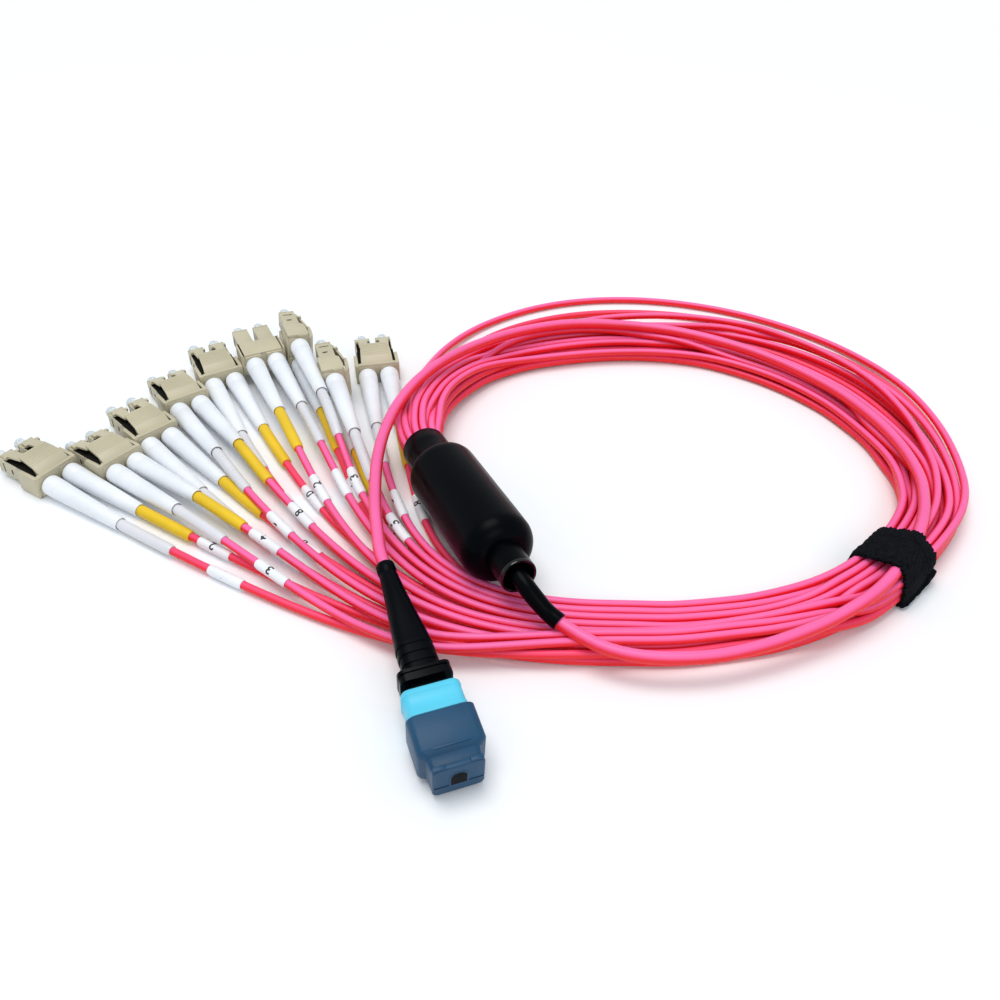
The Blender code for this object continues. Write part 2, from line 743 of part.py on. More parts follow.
def tail_points(pair, side, lane):
    """One tail of the fan, from its boot to its lane in the bundle's end face."""
    column, layer = lane
    leaving, meeting, settling = TAIL_LANES[pair][2:]
    place = duplex_place(DUPLEX_PLUGS[pair])
    rear = place @ Vector((-TAIL_BOOT_LENGTH - 2 * GAP, side * DUPLEX_PITCH / 2, 0.0))
    leave = -(place.to_3x3() @ Vector((1.0, 0.0, 0.0)))
    path = bundle_path()
    here, forward, across, _, _, _ = section_at(path, len(path) - 1)
    end = here + forward * GAP + across * ((PAIRS - 1) / 2 - column) * LANE_PITCH
    end.z = LOWER_LAYER_HEIGHT + layer * LAYER_PITCH
    span = (end - rear).length
    points = []
    for i in range(25):
        t = i / 24
        at_rear = (1 + 2 * t) * (1 - t) ** 2
        from_rear = t * (1 - t) ** 2 * leaving * span
        at_end = t * t * (3 - 2 * t)
        to_end = t * t * (1 - t) * meeting * span
        point = rear * at_rear + leave * from_rear + end * at_end + forward * to_end
        settled_share = min(1.0, t / settling)
        ease = settled_share * settled_share * (3 - 2 * settled_share)
        point.z = rear.z + (end.z - rear.z) * ease
        points.append([*point])
    return points


def make_tails():
    for pair, lanes in enumerate(TAIL_LANES):
        for letter, side, lane in (("a", 1, lanes[0]), ("b", -1, lanes[1])):
            curve = tail_points(pair, side, lane)
            tube(f"tail_{pair + 1}{letter}", spaced(curve, TAIL_POINTS), TAIL_DIAMETER, "pink_jacket")


clear_scene()
make_housing()
make_relief()
make_bundle()
make_stray_tail()
make_trunk()
make_strap()
make_multi_fibre_plug()
make_duplex_plugs()
make_tails()
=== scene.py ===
"""Visual model of a coiled fibre breakout cable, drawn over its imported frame.

One trunk with a multi-fibre plug, a round breakout housing, eighteen tails laid in a
coil, and nine duplex plugs in a fan. Everything is in metres.
"""

import math

import bmesh
import bpy
from mathutils import Matrix, Vector


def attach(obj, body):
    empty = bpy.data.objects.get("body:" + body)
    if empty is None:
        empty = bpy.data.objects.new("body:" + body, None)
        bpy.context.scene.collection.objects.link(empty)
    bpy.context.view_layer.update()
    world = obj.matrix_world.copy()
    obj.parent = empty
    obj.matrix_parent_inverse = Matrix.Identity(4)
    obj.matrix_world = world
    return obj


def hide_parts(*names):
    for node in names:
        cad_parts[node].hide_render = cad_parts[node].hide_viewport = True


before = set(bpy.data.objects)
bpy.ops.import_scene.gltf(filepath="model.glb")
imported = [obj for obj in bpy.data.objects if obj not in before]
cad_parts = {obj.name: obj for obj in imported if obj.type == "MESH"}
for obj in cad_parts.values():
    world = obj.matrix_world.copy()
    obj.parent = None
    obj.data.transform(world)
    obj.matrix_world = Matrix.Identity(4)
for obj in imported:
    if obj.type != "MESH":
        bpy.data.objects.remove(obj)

bl_info = {
    "name": "Fibre breakout cable",
    "version": (1, 0, 0),
    "blender": (4, 5, 0),
    "location": "View3D > Sidebar > Cable",
    "description": "Builds a coiled fibre breakout cable with its plugs, housing and strap",
    "category": "Object",
}

MM = 0.001
GAP = 0.3 * MM

# Places shared with the solid model
COIL_CENTRE = Vector((60.9, 17.7, 0.0)) * MM
HOUSING_START = Vector((-65.6, -0.6, 8.3)) * MM + COIL_CENTRE
HOUSING_HEADING = math.radians(-66.0)
HOUSING_RISE = math.radians(5.2)
HOUSING_LENGTH = 58.5 * MM
BUNDLE_ROUTE = (
    (174.8, 67.7, 4.7, 8.0, 4.7),
    (167.0, 69.2, 5.6, 7.3, 4.5),
    (157.0, 70.6, 6.4, 6.3, 4.1),
    (147.0, 71.0, 7.0, 5.4, 3.8),
    (137.0, 71.0, 8.0, 4.6, 3.4),
    (126.0, 69.5, 9.8, 4.0, 3.1),
    (112.0, 66.8, 11.2, 3.4, 2.8),
    (98.0, 64.8, 11.7, 3.0, 2.5),
    (83.0, 63.5, 11.7, 2.9, 2.4),
    (68.0, 62.7, 11.5, 2.9, 2.4),
    (50.0, 62.1, 11.4, 2.9, 2.4),
    (33.0, 62.4, 11.2, 2.9, 2.4),
    (19.0, 62.7, 10.2, 3.0, 2.5),
    (6.0, 63.4, 8.8, 3.2, 2.6),
    (-6.0, 63.9, 8.2, 3.4, 2.7),
    (-18.0, 63.6, 7.6, 4.0, 2.75),
    (-29.0, 61.9, 6.7, 4.6, 2.8),
    (-40.0, 60.5, 6.1, 4.8, 2.9),
    (-51.0, 60.1, 7.1, 4.4, 2.8),
    (-63.0, 60.0, 8.5, 3.5, 2.6),
    (-76.0, 59.8, 9.3, 3.0, 2.5),
    (-88.0, 60.5, 9.7, 2.9, 2.4),
    (-98.0, 62.6, 10.1, 2.9, 2.4),
    (-108.0, 65.2, 10.9, 2.9, 2.4),
)
STRAY_ROUTE = (
    (164.0, 74.4, 7.4),
    (157.0, 76.7, 5.4),
    (150.0, 79.4, 3.6),
    (143.5, 82.0, 2.7),
    (136.0, 86.4, 1.7),
    (126.0, 90.2, 1.2),
    (114.0, 91.6, 1.15),
    (104.0, 91.3, 1.15),
    (95.0, 90.4, 1.15),
    (84.0, 88.7, 1.15),
    (70.0, 86.4, 1.15),
    (57.0, 84.8, 1.15),
    (42.0, 83.2, 1.3),
    (30.0, 81.2, 1.9),
    (19.0, 78.3, 2.7),
    (8.0, 75.5, 3.3),
    (-2.0, 73.7, 3.5),
    (-12.0, 71.6, 4.4),
    (-22.0, 68.6, 5.2),
)
TRUNK_ROUTE = (
    (-33.4, -62.2, 8.3),
    (-29.0, -65.6, 7.6),
    (-22.6, -69.3, 7.25),
    (-14.0, -71.3, 7.25),
    (-2.5, -71.0, 7.25),
    (7.5, -68.6, 7.25),
    (16.5, -65.2, 7.4),
    (25.5, -60.9, 7.9),
    (34.5, -55.4, 8.9),
    (41.5, -48.9, 9.4),
    (48.0, -40.9, 9.5),
    (53.6, -31.0, 9.2),
    (57.2, -21.5, 8.6),
    (59.2, -11.0, 8.0),
    (58.3, 2.0, 7.6),
    (54.6, 14.6, 7.35),
    (47.6, 28.0, 7.25),
    (36.0, 41.5, 7.25),
    (23.0, 51.6, 7.25),
    (7.0, 59.4, 7.3),
    (-10.0, 62.4, 7.8),
    (-25.0, 61.2, 8.7),
    (-38.5, 55.6, 9.8),
    (-50.5, 46.6, 11.3),
    (-60.5, 36.0, 12.5),
    (-68.0, 24.4, 13.2),
    (-72.9, 12.0, 13.5),
    (-75.4, 0.0, 13.6),
    (-76.3, -11.5, 13.6),
    (-75.9, -22.6, 13.5),
    (-74.9, -32.5, 13.3),
    (-73.5, -41.0, 12.9),
)
PLUG_START = Vector((-71.4, -49.0, 12.35)) * MM + COIL_CENTRE
PLUG_HEADING = math.radians(-70.5)
PLUG_DROP = math.radians(7.8)
DUPLEX_PLUGS = (
    (-159.6, -6.6, 3.2, 147.0, -2.5, 0.0),
    (-144.0, -2.5, 3.6, 141.5, 3.0, 0.0),
    (-138.2, 9.8, 3.2, 134.6, -2.5, 0.0),
    (-133.5, 24.9, 3.6, 126.1, 3.0, 0.0),
    (-126.5, 38.0, 3.2, 118.6, -2.5, 0.0),
    (-114.8, 43.3, 6.6, 115.1, 0.0, 180.0),
    (-105.2, 46.4, 7.1, 112.0, 0.0, 96.0),
    (-92.4, 29.0, 6.6, 108.4, 0.0, 90.0),
    (-81.8, 42.0, 3.2, 101.2, 0.0, 0.0),
)
TAIL_LANES = (
    ((0, 0), (1, 0), 1.32, 0.84, 0.45),
    ((0, 1), (1, 1), 1.66, 1.28, 0.4),
    ((2, 0), (3, 0), 1.26, 1.02, 0.12),
    ((2, 1), (3, 1), 1.26, 1.18, 0.12),
    ((4, 0), (5, 0), 1.26, 1.08, 0.39),
    ((5, 1), (4, 1), 1.4, 1.27, 0.34),
    ((6, 1), (6, 0), 1.2, 1.39, 0.29),
    ((7, 1), (7, 0), 1.76, 1.04, 0.27),
    ((8, 1), (8, 0), 1.55, 1.38, 0.25),
)
LANE_PITCH = 2.41 * MM
LAYER_PITCH = 2.35 * MM
LOWER_LAYER_HEIGHT = 1.35 * MM
DUPLEX_PITCH = 6.25 * MM
TAIL_BOOT_LENGTH = 26.0 * MM
COIL_STATIONS = 150
CLEAR_OF_STRAND = 2.09 * MM  # between the middles of two tails
CLEAR_OF_TRUNK = 2.52 * MM  # between the middles of a tail and the trunk
FLOOR_CLEARANCE = 1.12 * MM  # from the floor to a tail's middle
EDGE_MARGIN = 1.26 * MM  # from the bundle's edge to the outermost tail's middle
BOOT_OVERLAP = 2.5 * MM  # how far a tail runs on inside its boot
STRAP_PLACE = math.radians(-42.0)
STRAP_RADIUS = 61.7 * MM
STRAP_HALF_WIDTH = 6.4 * MM

# The multi-fibre plug, along its own axis
BOOT_LENGTH = 29.5 * MM
FLANGE_LENGTH = 3.0 * MM
CORE_LENGTH = 16.0 * MM
SLEEVE_SETBACK = 1.8 * MM
SLEEVE_LENGTH = 6.3 * MM
CAP_LENGTH = 12.7 * MM

# Strands that cross the others on top: lane, lanes crossed, and where they start and end
RIDERS = {
    (1, 1): (3.1, 0.10, 0.56),
    (3, 1): (-2.4, 0.16, 0.74),
    (5, 1): (2.6, 0.42, 0.84),
    (7, 1): (-3.2, 0.08, 0.44),
    (4, 1): (-1.0, 0.74, 0.98),
}

# Strands that lie loose outside the others: how far out, how far down, where they start and end
LOOSE = {
    (0, 0): (6.6, 0.2, 0.10, 0.74),
    (1, 1): (6.0, 1.6, 0.28, 0.76),
    (2, 1): (3.2, 0.4, 0.34, 0.70),
}

# Strands that climb onto the others beyond the strap: the column and layer they move to
CLIMBING = {
    (0, 0): (1.0, 1.0),
    (0, 1): (1.55, 1.9),
    (1, 1): (2.6, 1.9),
}

# The tails' lines, worked out once and used for the cords, the sleeves and the strap
STRANDS = []


# Shared shapes

def heading(angle, rise=0.0):
    return Vector((math.cos(angle) * math.cos(rise), math.sin(angle) * math.cos(rise), math.sin(rise)))


def frame_along(direction, up_hint=Vector((0.0, 0.0, 1.0))):
    forward = direction.normalized()
    left = up_hint.cross(forward).normalized()
    up = forward.cross(left)
    return Matrix((forward, left, up)).transposed().to_4x4()


def smooth_curve(points, per_span=12):
    """A smooth curve through points of any number of coordinates."""
    padded = [[2 * a - b for a, b in zip(points[0], points[1])]]
    padded += [list(point) for point in points]
    padded.append([2 * a - b for a, b in zip(points[-1], points[-2])])
    curve = []
    for k in range(1, len(padded) - 2):
        p0, p1, p2, p3 = padded[k - 1:k + 3]
        for i in range(per_span):
            t = i / per_span
            point = []
            for a, b, c, d in zip(p0, p1, p2, p3):
                bend = (2 * a - 5 * b + 4 * c - d) * t * t + (3 * b - a - 3 * c + d) * t ** 3
                point.append(0.5 * (2 * b + (c - a) * t + bend))
            curve.append(point)
    curve.append(list(points[-1]))
    return curve


def length_of(curve):
    return sum(math.dist(a[:3], b[:3]) for a, b in zip(curve, curve[1:]))


def spaced(curve, count):
    """The same curve read at evenly spaced places."""
    along = [0.0]
    for a, b in zip(curve, curve[1:]):
        along.append(along[-1] + math.dist(a[:3], b[:3]))
    places = []
    k = 0
    for i in range(count):
        want = along[-1] * i / (count - 1)
        while k < len(along) - 2 and along[k + 1] < want:
            k += 1
        share = (want - along[k]) / (along[k + 1] - along[k])
        places.append([a + (b - a) * share for a, b in zip(curve[k], curve[k + 1])])
    return places


def stretch_of(curve, start, end, count):
    """A stretch of a curve between two distances from its start."""
    total = length_of(curve)
    steps = 4000
    fine = spaced(curve, steps + 1)
    picked = []
    for i in range(count):
        along = start + (end - start) * i / (count - 1)
        picked.append(Vector(fine[min(steps, max(0, round(along / total * steps)))][:3]))
    return picked


def smoothstep(value):
    value = min(1.0, max(0.0, value))
    return value * value * (3 - 2 * value)


def rounded_section(width, height, corner, steps=5):
    points = []
    for quarter, (sy, sz) in enumerate(((1, 1), (-1, 1), (-1, -1), (1, -1))):
        for i in range(steps + 1):
            angle = math.radians(90.0 * quarter + 90.0 * i / steps)
            y = sy * (width / 2 - corner) + corner * math.cos(angle)
            z = sz * (height / 2 - corner) + corner * math.sin(angle)
            points.append((y, z))
    return points


def section_ring(x, width, height, corner, drop=0.0):
    """A rounded section's points at a place along the plug's axis."""
    return [Vector((x, y, z - drop)) for y, z in rounded_section(width, height, corner)]


def skin(shape, rings, closed=False, slot=0, cap=True):
    """Joins rings of points into one skin."""
    loops = [[shape.verts.new(point) for point in ring] for ring in rings]
    count = len(loops[0])
    pairs = list(zip(loops, loops[1:]))
    if closed:
        pairs.append((loops[-1], loops[0]))
    for low, high in pairs:
        for i in range(count):
            j = (i + 1) % count
            face = shape.faces.new((low[i], low[j], high[j], high[i]))
            face.material_index = slot
    if not closed and cap:
        for loop in (list(reversed(loops[0])), loops[-1]):
            face = shape.faces.new(loop)
            face.material_index = slot


def turned_rings(profile, sides):
    """Rings of a turned shape about X from (x, radius) points."""
    rings = []
    for x, radius in profile:
        ring = []
        for i in range(sides):
            angle = 2.0 * math.pi * i / sides
            ring.append(Vector((x, radius * math.cos(angle), radius * math.sin(angle))))
        rings.append(ring)
    return rings


def tube_rings(points, radii, sides):
    """Rings round a run of points, carried along without twist."""
    rings = []
    side = None
    for i, point in enumerate(points):
        ahead = points[min(i + 1, len(points) - 1)]
        behind = points[max(i - 1, 0)]
        forward = (ahead - behind).normalized()
        if side is None:
            side = Vector((0.0, 0.0, 1.0)).cross(forward).normalized()
        side = (side - forward * side.dot(forward)).normalized()
        up = forward.cross(side)
        ring = []
        for k in range(sides):
            angle = 2.0 * math.pi * k / sides
            ring.append(point + (side * math.cos(angle) + up * math.sin(angle)) * radii[i])
        rings.append(ring)
    return rings


def box(shape, low, high, slot=0):
    """A box between two corners in millimetres."""
    corners = []
    for x in (low[0], high[0]):
        for y, z in ((low[1], low[2]), (high[1], low[2]), (high[1], high[2]), (low[1], high[2])):
            corners.append(shape.verts.new((x * MM, y * MM, z * MM)))
    faces = ((3, 2, 1, 0), (4, 5, 6, 7), (0, 1, 5, 4), (1, 2, 6, 5), (2, 3, 7, 6), (3, 0, 4, 7))
    for face in faces:
        made = shape.faces.new([corners[i] for i in face])
        made.material_index = slot


def prism(shape, outline, low, high, slot=0, taper=None):
    """A side view in millimetres given a width along Y; taper narrows it at given places."""
    sides = []
    for y, sign in ((low, -1), (high, 1)):
        ring = []
        for k, (x, z) in enumerate(outline):
            inset = taper[k] if taper else 0.0
            ring.append(Vector((x, y - sign * inset, z)) * MM)
        sides.append(ring)
    skin(shape, sides, slot=slot)


def mesh_from(name, build, materials, smooth_angle=35.0, bevel=0.0, segments=2):
    """A mesh with its own edges rounded, ready to be shared by several objects."""
    shape = bmesh.new()
    build(shape)
    bmesh.ops.recalc_face_normals(shape, faces=shape.faces)
    mesh = bpy.data.meshes.new(name)
    shape.to_mesh(mesh)
    shape.free()
    for entry in materials:
        mesh.materials.append(entry)
    if bevel > 0.0:
        holder = bpy.data.objects.new(name + "_holder", mesh)
        bpy.context.scene.collection.objects.link(holder)
        rounding = holder.modifiers.new("rounding", "BEVEL")
        rounding.width = bevel
        rounding.segments = segments
        rounding.limit_method = "ANGLE"
        rounding.angle_limit = math.radians(30.0)
        rounding.harden_normals = False
        bpy.context.view_layer.update()
        graph = bpy.context.evaluated_depsgraph_get()
        done = bpy.data.meshes.new_from_object(holder.evaluated_get(graph))
        done.name = name
        bpy.data.objects.remove(holder, do_unlink=True)
        mesh = done
    mesh.shade_smooth()
    mesh.set_sharp_from_angle(angle=math.radians(smooth_angle))
    return mesh


def place_piece(name, mesh, place, body, slot, *nodes):
    """Links a piece in place, rides it on its body and lets it stand for its solids."""
    own = mesh.copy()
    own.name = name
    own.transform(place)
    piece = bpy.data.objects.new(name, own)
    bpy.context.scene.collection.objects.link(piece)
    bpy.context.view_layer.update()
    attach(piece, body)
    if nodes:
        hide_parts(*nodes)
    return piece


# Materials

def shader_of(name, roughness, colour):
    """A new material and its shader, or the one that is there already."""
    found = bpy.data.materials.get(name)
    if found:
        return found, None
    made = bpy.data.materials.new(name)
    made.use_nodes = True
    made.diffuse_color = (*colour, 1.0)
    shader = made.node_tree.nodes["Principled BSDF"]
    shader.inputs["Base Color"].default_value = (*colour, 1.0)
    shader.inputs["Roughness"].default_value = roughness
    return made, shader


def add_noise(tree, scale, detail=3.0, stretch=None):
    place = tree.nodes.new("ShaderNodeTexCoord")
    noise = tree.nodes.new("ShaderNodeTexNoise")
    noise.inputs["Scale"].default_value = scale
    noise.inputs["Detail"].default_value = detail
    if stretch:
        mapping = tree.nodes.new("ShaderNodeMapping")
        mapping.inputs["Scale"].default_value = stretch
        tree.links.new(place.outputs["Object"], mapping.inputs["Vector"])
        tree.links.new(mapping.outputs["Vector"], noise.inputs["Vector"])
    else:
        tree.links.new(place.outputs["Object"], noise.inputs["Vector"])
    return noise.outputs["Fac"]


def add_ramp(tree, value, low, high, start=0.3, end=0.7):
    ramp = tree.nodes.new("ShaderNodeValToRGB")
    ramp.color_ramp.elements[0].position = start
    ramp.color_ramp.elements[0].color = (*low, 1.0)
    ramp.color_ramp.elements[1].position = end
    ramp.color_ramp.elements[1].color = (*high, 1.0)
    tree.links.new(value, ramp.inputs["Fac"])
    return ramp.outputs["Color"]


def add_range(tree, value, low, high):
    spread = tree.nodes.new("ShaderNodeMapRange")
    spread.inputs["From Min"].default_value = 0.3
    spread.inputs["From Max"].default_value = 0.7
    spread.inputs["To Min"].default_value = low
    spread.inputs["To Max"].default_value = high
    tree.links.new(value, spread.inputs["Value"])
    return spread.outputs["Result"]


def add_bump(tree, shader, value, strength, distance):
    bump = tree.nodes.new("ShaderNodeBump")
    bump.inputs["Strength"].default_value = strength
    bump.inputs["Distance"].default_value = distance
    tree.links.new(value, bump.inputs["Height"])
    tree.links.new(bump.outputs["Normal"], shader.inputs["Normal"])


def moulded(name, colour, roughness, grain=900.0, depth=0.00002, spread=0.12, strength=0.35, gloss=0.5):
    """Moulded plastic or rubber: slight tone changes, fine grain and uneven gloss."""
    made, shader = shader_of(name, roughness, colour)
    if shader is None:
        return made
    shader.inputs["Specular IOR Level"].default_value = gloss
    tree = made.node_tree
    low = [channel * (1.0 - spread) for channel in colour]
    high = [min(1.0, channel * (1.0 + spread)) for channel in colour]
    broad = add_noise(tree, 90.0)
    tree.links.new(add_ramp(tree, broad, low, high), shader.inputs["Base Color"])
    fine = add_noise(tree, grain, 4.0)
    tree.links.new(add_range(tree, broad, roughness * 0.88, roughness * 1.12), shader.inputs["Roughness"])
    add_bump(tree, shader, fine, strength, depth)
    return made


def jacket_material(name="pink_jacket", top=(0.97, 0.14, 0.39)):
    """Pink extruded jacket: satin, with painted shade that turns its sideways and lower flanks deep red,
    faint tone changes along it.
    """
    made, shader = shader_of(name, 0.38, top)
    if shader is None:
        return made
    tree = made.node_tree
    broad = add_noise(tree, 45.0)
    pink = add_ramp(tree, broad, [part * 0.93 for part in top], [min(1.0, part * 1.07) for part in top])
    # painted shade: faces that look sideways or down are mixed from the pink towards this deep red
    red = add_ramp(tree, broad, (0.86, 0.010, 0.016), (0.92, 0.018, 0.028))
    geometry = tree.nodes.new("ShaderNodeNewGeometry")
    parts = tree.nodes.new("ShaderNodeSeparateXYZ")
    tree.links.new(geometry.outputs["Normal"], parts.inputs["Vector"])
    upward = tree.nodes.new("ShaderNodeMapRange")
    upward.interpolation_type = "SMOOTHSTEP"
    upward.inputs["From Min"].default_value = 0.28
    upward.inputs["From Max"].default_value = 0.99
    tree.links.new(parts.outputs["Z"], upward.inputs["Value"])
    mixed = tree.nodes.new("ShaderNodeMix")
    mixed.data_type = "RGBA"
    tree.links.new(upward.outputs["Result"], mixed.inputs["Factor"])
    tree.links.new(red, mixed.inputs["A"])
    tree.links.new(pink, mixed.inputs["B"])
    tree.links.new(mixed.outputs["Result"], shader.inputs["Base Color"])
    tree.links.new(add_range(tree, broad, 0.33, 0.44), shader.inputs["Roughness"])
    add_bump(tree, shader, add_noise(tree, 700.0, 3.0), 0.25, 0.00002)
    shader.inputs["Specular IOR Level"].default_value = 0.35
    return made


def strap_material():
    """Woven hook-and-loop tape: a tight black weave with matted loops."""
    colour = (0.012, 0.012, 0.013)
    made, shader = shader_of("strap_weave", 0.85, colour)
    if shader is None:
        return made
    tree = made.node_tree
    place = tree.nodes.new("ShaderNodeTexCoord")
    weave = tree.nodes.new("ShaderNodeTexVoronoi")
    weave.inputs["Scale"].default_value = 1500.0
    tree.links.new(place.outputs["Object"], weave.inputs["Vector"])
    loops = add_noise(tree, 420.0, 5.0)
    mixed = tree.nodes.new("ShaderNodeMath")
    mixed.operation = "ADD"
    tree.links.new(weave.outputs["Distance"], mixed.inputs[0])
    tree.links.new(loops, mixed.inputs[1])
    tone = add_ramp(tree, mixed.outputs["Value"], (0.0004, 0.0006, 0.0008), (0.006, 0.007, 0.009), 0.5, 1.25)
    tree.links.new(tone, shader.inputs["Base Color"])
    add_bump(tree, shader, mixed.outputs["Value"], 0.9, 0.00025)
    shader.inputs["Specular IOR Level"].default_value = 0.05
    return made


def cap_material():
    """Translucent bluish-white soft plastic of the small dust caps."""
    made = moulded("clear_cap", (0.86, 0.92, 0.96), 0.3, 500.0, 0.00001, 0.05)
    shader = made.node_tree.nodes["Principled BSDF"]
    shader.inputs["Transmission Weight"].default_value = 0.35
    shader.inputs["IOR"].default_value = 1.45
    return made


def clear_sleeve_material():
    made = moulded("clear_sleeve", (0.86, 0.88, 0.92), 0.28, 400.0, 0.00001, 0.04)
    shader = made.node_tree.nodes["Principled BSDF"]
    shader.inputs["Transmission Weight"].default_value = 0.2
    return made


def boot_material():
    made = moulded("white_boot", (0.84, 0.86, 0.90), 0.42, 700.0, 0.00002, 0.05)
    shader = made.node_tree.nodes["Principled BSDF"]
    shader.inputs["Subsurface Weight"].default_value = 0.15
    shader.inputs["Subsurface Radius"].default_value = (0.6, 0.7, 1.0)
    shader.inputs["Subsurface Scale"].default_value = 0.001
    return made


def floor_material():
    made, shader = shader_of("pale_floor", 0.6, (0.92, 0.93, 0.95))
    if shader is None:
        return made
    tree = made.node_tree
    tone = add_ramp(tree, add_noise(tree, 4.0), (0.915, 0.925, 0.945), (0.925, 0.935, 0.955))
    tree.links.new(tone, shader.inputs["Base Color"])
    return made


# Routes of the cords

def bundle_path():
    """The bundle's stations, from inside the housing's neck to the start of the fan."""
    forward = heading(HOUSING_HEADING, HOUSING_RISE)
    rows = []
    for along in (2.7 * MM, 0.0, -2.5 * MM):
        point = HOUSING_START + forward * along
        rows.append([*point, 4.6 * MM, 4.6 * MM])
    for angle, radius, half_width, middle, half_height in BUNDLE_ROUTE:
        x = COIL_CENTRE.x + radius * MM * math.cos(math.radians(angle))
        y = COIL_CENTRE.y + radius * MM * math.sin(math.radians(angle))
        rows.append([x, y, middle * MM, half_width * MM, half_height * MM])
    return smooth_curve(rows)


def section_at(path, index):
    here = Vector(path[index][:3])
    before = Vector(path[max(index - 1, 0)][:3])
    after = Vector(path[min(index + 1, len(path) - 1)][:3])
    forward = (after - before).normalized()
    side = Vector((0.0, 0.0, 1.0)).cross(forward).normalized()
    up = forward.cross(side)
    return here, forward, side, up, path[index][3], path[index][4]


def trunk_points():
    rows = []
    for x, y, z in TRUNK_ROUTE:
        rows.append([COIL_CENTRE.x + x * MM, COIL_CENTRE.y + y * MM, z * MM])
    forward = heading(PLUG_HEADING, -PLUG_DROP)
    rows.append([*(PLUG_START - forward * 4.0 * MM)])
    rows.append([*(PLUG_START - forward * GAP)])
    return smooth_curve(rows)


def relief_points():
    forward = heading(HOUSING_HEADING, HOUSING_RISE)
    mouth = HOUSING_START + forward * HOUSING_LENGTH
    curve = trunk_points()
    first = Vector(curve[0])
    away = (Vector(curve[1]) - first).normalized()
    rows = [
        [*(mouth - forward * 3.7 * MM)],
        [*(mouth - forward * 2.0 * MM)],
        [*mouth],
    ]
    span = (first - mouth).length
    for t in (0.25, 0.5, 0.75):
        point = mouth * ((1 + 2 * t) * (1 - t) ** 2) + first * (t * t * (3 - 2 * t))
        point += (forward * (t * (1 - t) ** 2) - away * (t * t * (1 - t))) * span * 0.95
        rows.append([*point])
    rows.append([*first])
    return smooth_curve(rows)


def duplex_place(row):
    x, y, z, angle, pitch, roll = row
    place = Matrix.Translation(COIL_CENTRE + Vector((x, y, z)) * MM)
    for turn, axis in ((angle, "Z"), (pitch, "Y"), (roll, "X")):
        place = place @ Matrix.Rotation(math.radians(turn), 4, axis)
    return place


def lane_in_section(lane, share, half_width, half_height):
    """Where a strand wants to lie in the bundle's section, in metres across and up."""
    column, layer = lane
    sign = 1.0 if layer else -1.0
    even = column % 2 == 0
    neck = ((4 - column) * 1.0 * MM, sign * (1.0 if even else 2.75) * MM)

    spread = (half_width - EDGE_MARGIN) / 4
    low = -(half_height - 0.85 * MM)
    flat = ((4 - column) * spread, low + layer * LAYER_PITCH)

    pitch = 2.0 * (half_width - 1.0 * MM) / 5
    if column % 3 == 1:
        order = (column // 3) * 2 + (0 if layer else 1)
        row = 0.0
    else:
        order = (column // 3) * 2 + (1 if column % 3 == 2 else 0)
        row = sign * (half_height - 0.95 * MM)
    narrow = ((2.5 - order) * pitch, row)

    # along the bottom the strands are drawn in towards the coil's middle
    inner = -(half_width - EDGE_MARGIN)
    squeeze = smoothstep((share - 0.76) / 0.1)
    drawn = 1.0 - 0.17 * squeeze
    flat = (inner + 0.4 * MM * squeeze + (flat[0] - inner) * drawn, flat[1])
    climb = CLIMBING.get((column, layer))
    if climb:
        part = smoothstep((share - 0.78) / 0.07)
        target = (inner + (8 - climb[0]) * spread * drawn, low + climb[1] * LAYER_PITCH)
        flat = (flat[0] + (target[0] - flat[0]) * part, flat[1] + (target[1] - flat[1]) * part)
    loose = LOOSE.get((column, layer))
    if loose:
        reach, fall, start, end = loose
        bump = smoothstep((share - start) / 0.2) * smoothstep((end - share) / 0.22)
        flat = (flat[0] + reach * MM * bump, flat[1] - fall * MM * bump)
    rider = RIDERS.get((column, layer))
    lift = 0.0
    shift = 0.0
    if rider:
        lanes, start, end = rider
        bump = math.sin(math.pi * min(1.0, max(0.0, (share - start) / (end - start)))) ** 2
        shift = -lanes * spread * bump
        lift = 2.3 * MM * min(1.0, 2.5 * bump)
    phase = share * (1.3 + 0.17 * column) + 0.31 * column + 0.53 * layer
    wave = 0.45 * MM * math.sin(2.0 * math.pi * phase)
    calm = smoothstep((share - 0.06) / 0.1) * smoothstep((0.98 - share) / 0.1)

    tight = smoothstep((9.6 * MM - half_width) / (3.1 * MM))
    across = flat[0] + (narrow[0] - flat[0]) * tight + (wave + shift * (1 - tight)) * calm
    up = flat[1] + (narrow[1] - flat[1]) * tight + lift * calm * (1 - tight)
    free = smoothstep((share - 0.012) / 0.085)
    return neck[0] + (across - neck[0]) * free, neck[1] + (up - neck[1]) * free


def eased(table, strength):
    """Every strand's place drawn towards its places just before and just after."""
    last = len(table) - 1
    own = 4.0 / strength - 2.0
    result = []
    for i, places in enumerate(table):
        before = table[max(i - 1, 0)]
        after = table[min(i + 1, last)]
        result.append([[(a[0] + own * b[0] + c[0]) / (own + 2), (a[1] + own * b[1] + c[1]) / (own + 2)]
                       for a, b, c in zip(before, places, after)])
    return result


def settle_section(places, fixed, floor, rounds):
    """Pushes strands apart until none lies in another, in the trunk or in the floor."""
    for _ in range(rounds):
        for i in range(len(places)):
            a = places[i]
            for j in range(i + 1, len(places)):
                b = places[j]
                dx = b[0] - a[0]
                dy = b[1] - a[1]
                apart = math.hypot(dx, dy)
                if apart < CLEAR_OF_STRAND:
                    push = (CLEAR_OF_STRAND - apart) / 2 / max(apart, 0.00001)
                    a[0] -= dx * push * 0.85
                    a[1] -= dy * push * 1.15
                    b[0] += dx * push * 0.85
                    b[1] += dy * push * 1.15
            for x, y, reach in fixed:
                dx = a[0] - x
                dy = a[1] - y
                apart = math.hypot(dx, dy)
                if apart < reach:
                    push = (reach - apart) / max(apart, 0.00001)
                    a[0] += dx * push
                    a[1] += dy * push
            a[1] = max(a[1], floor)


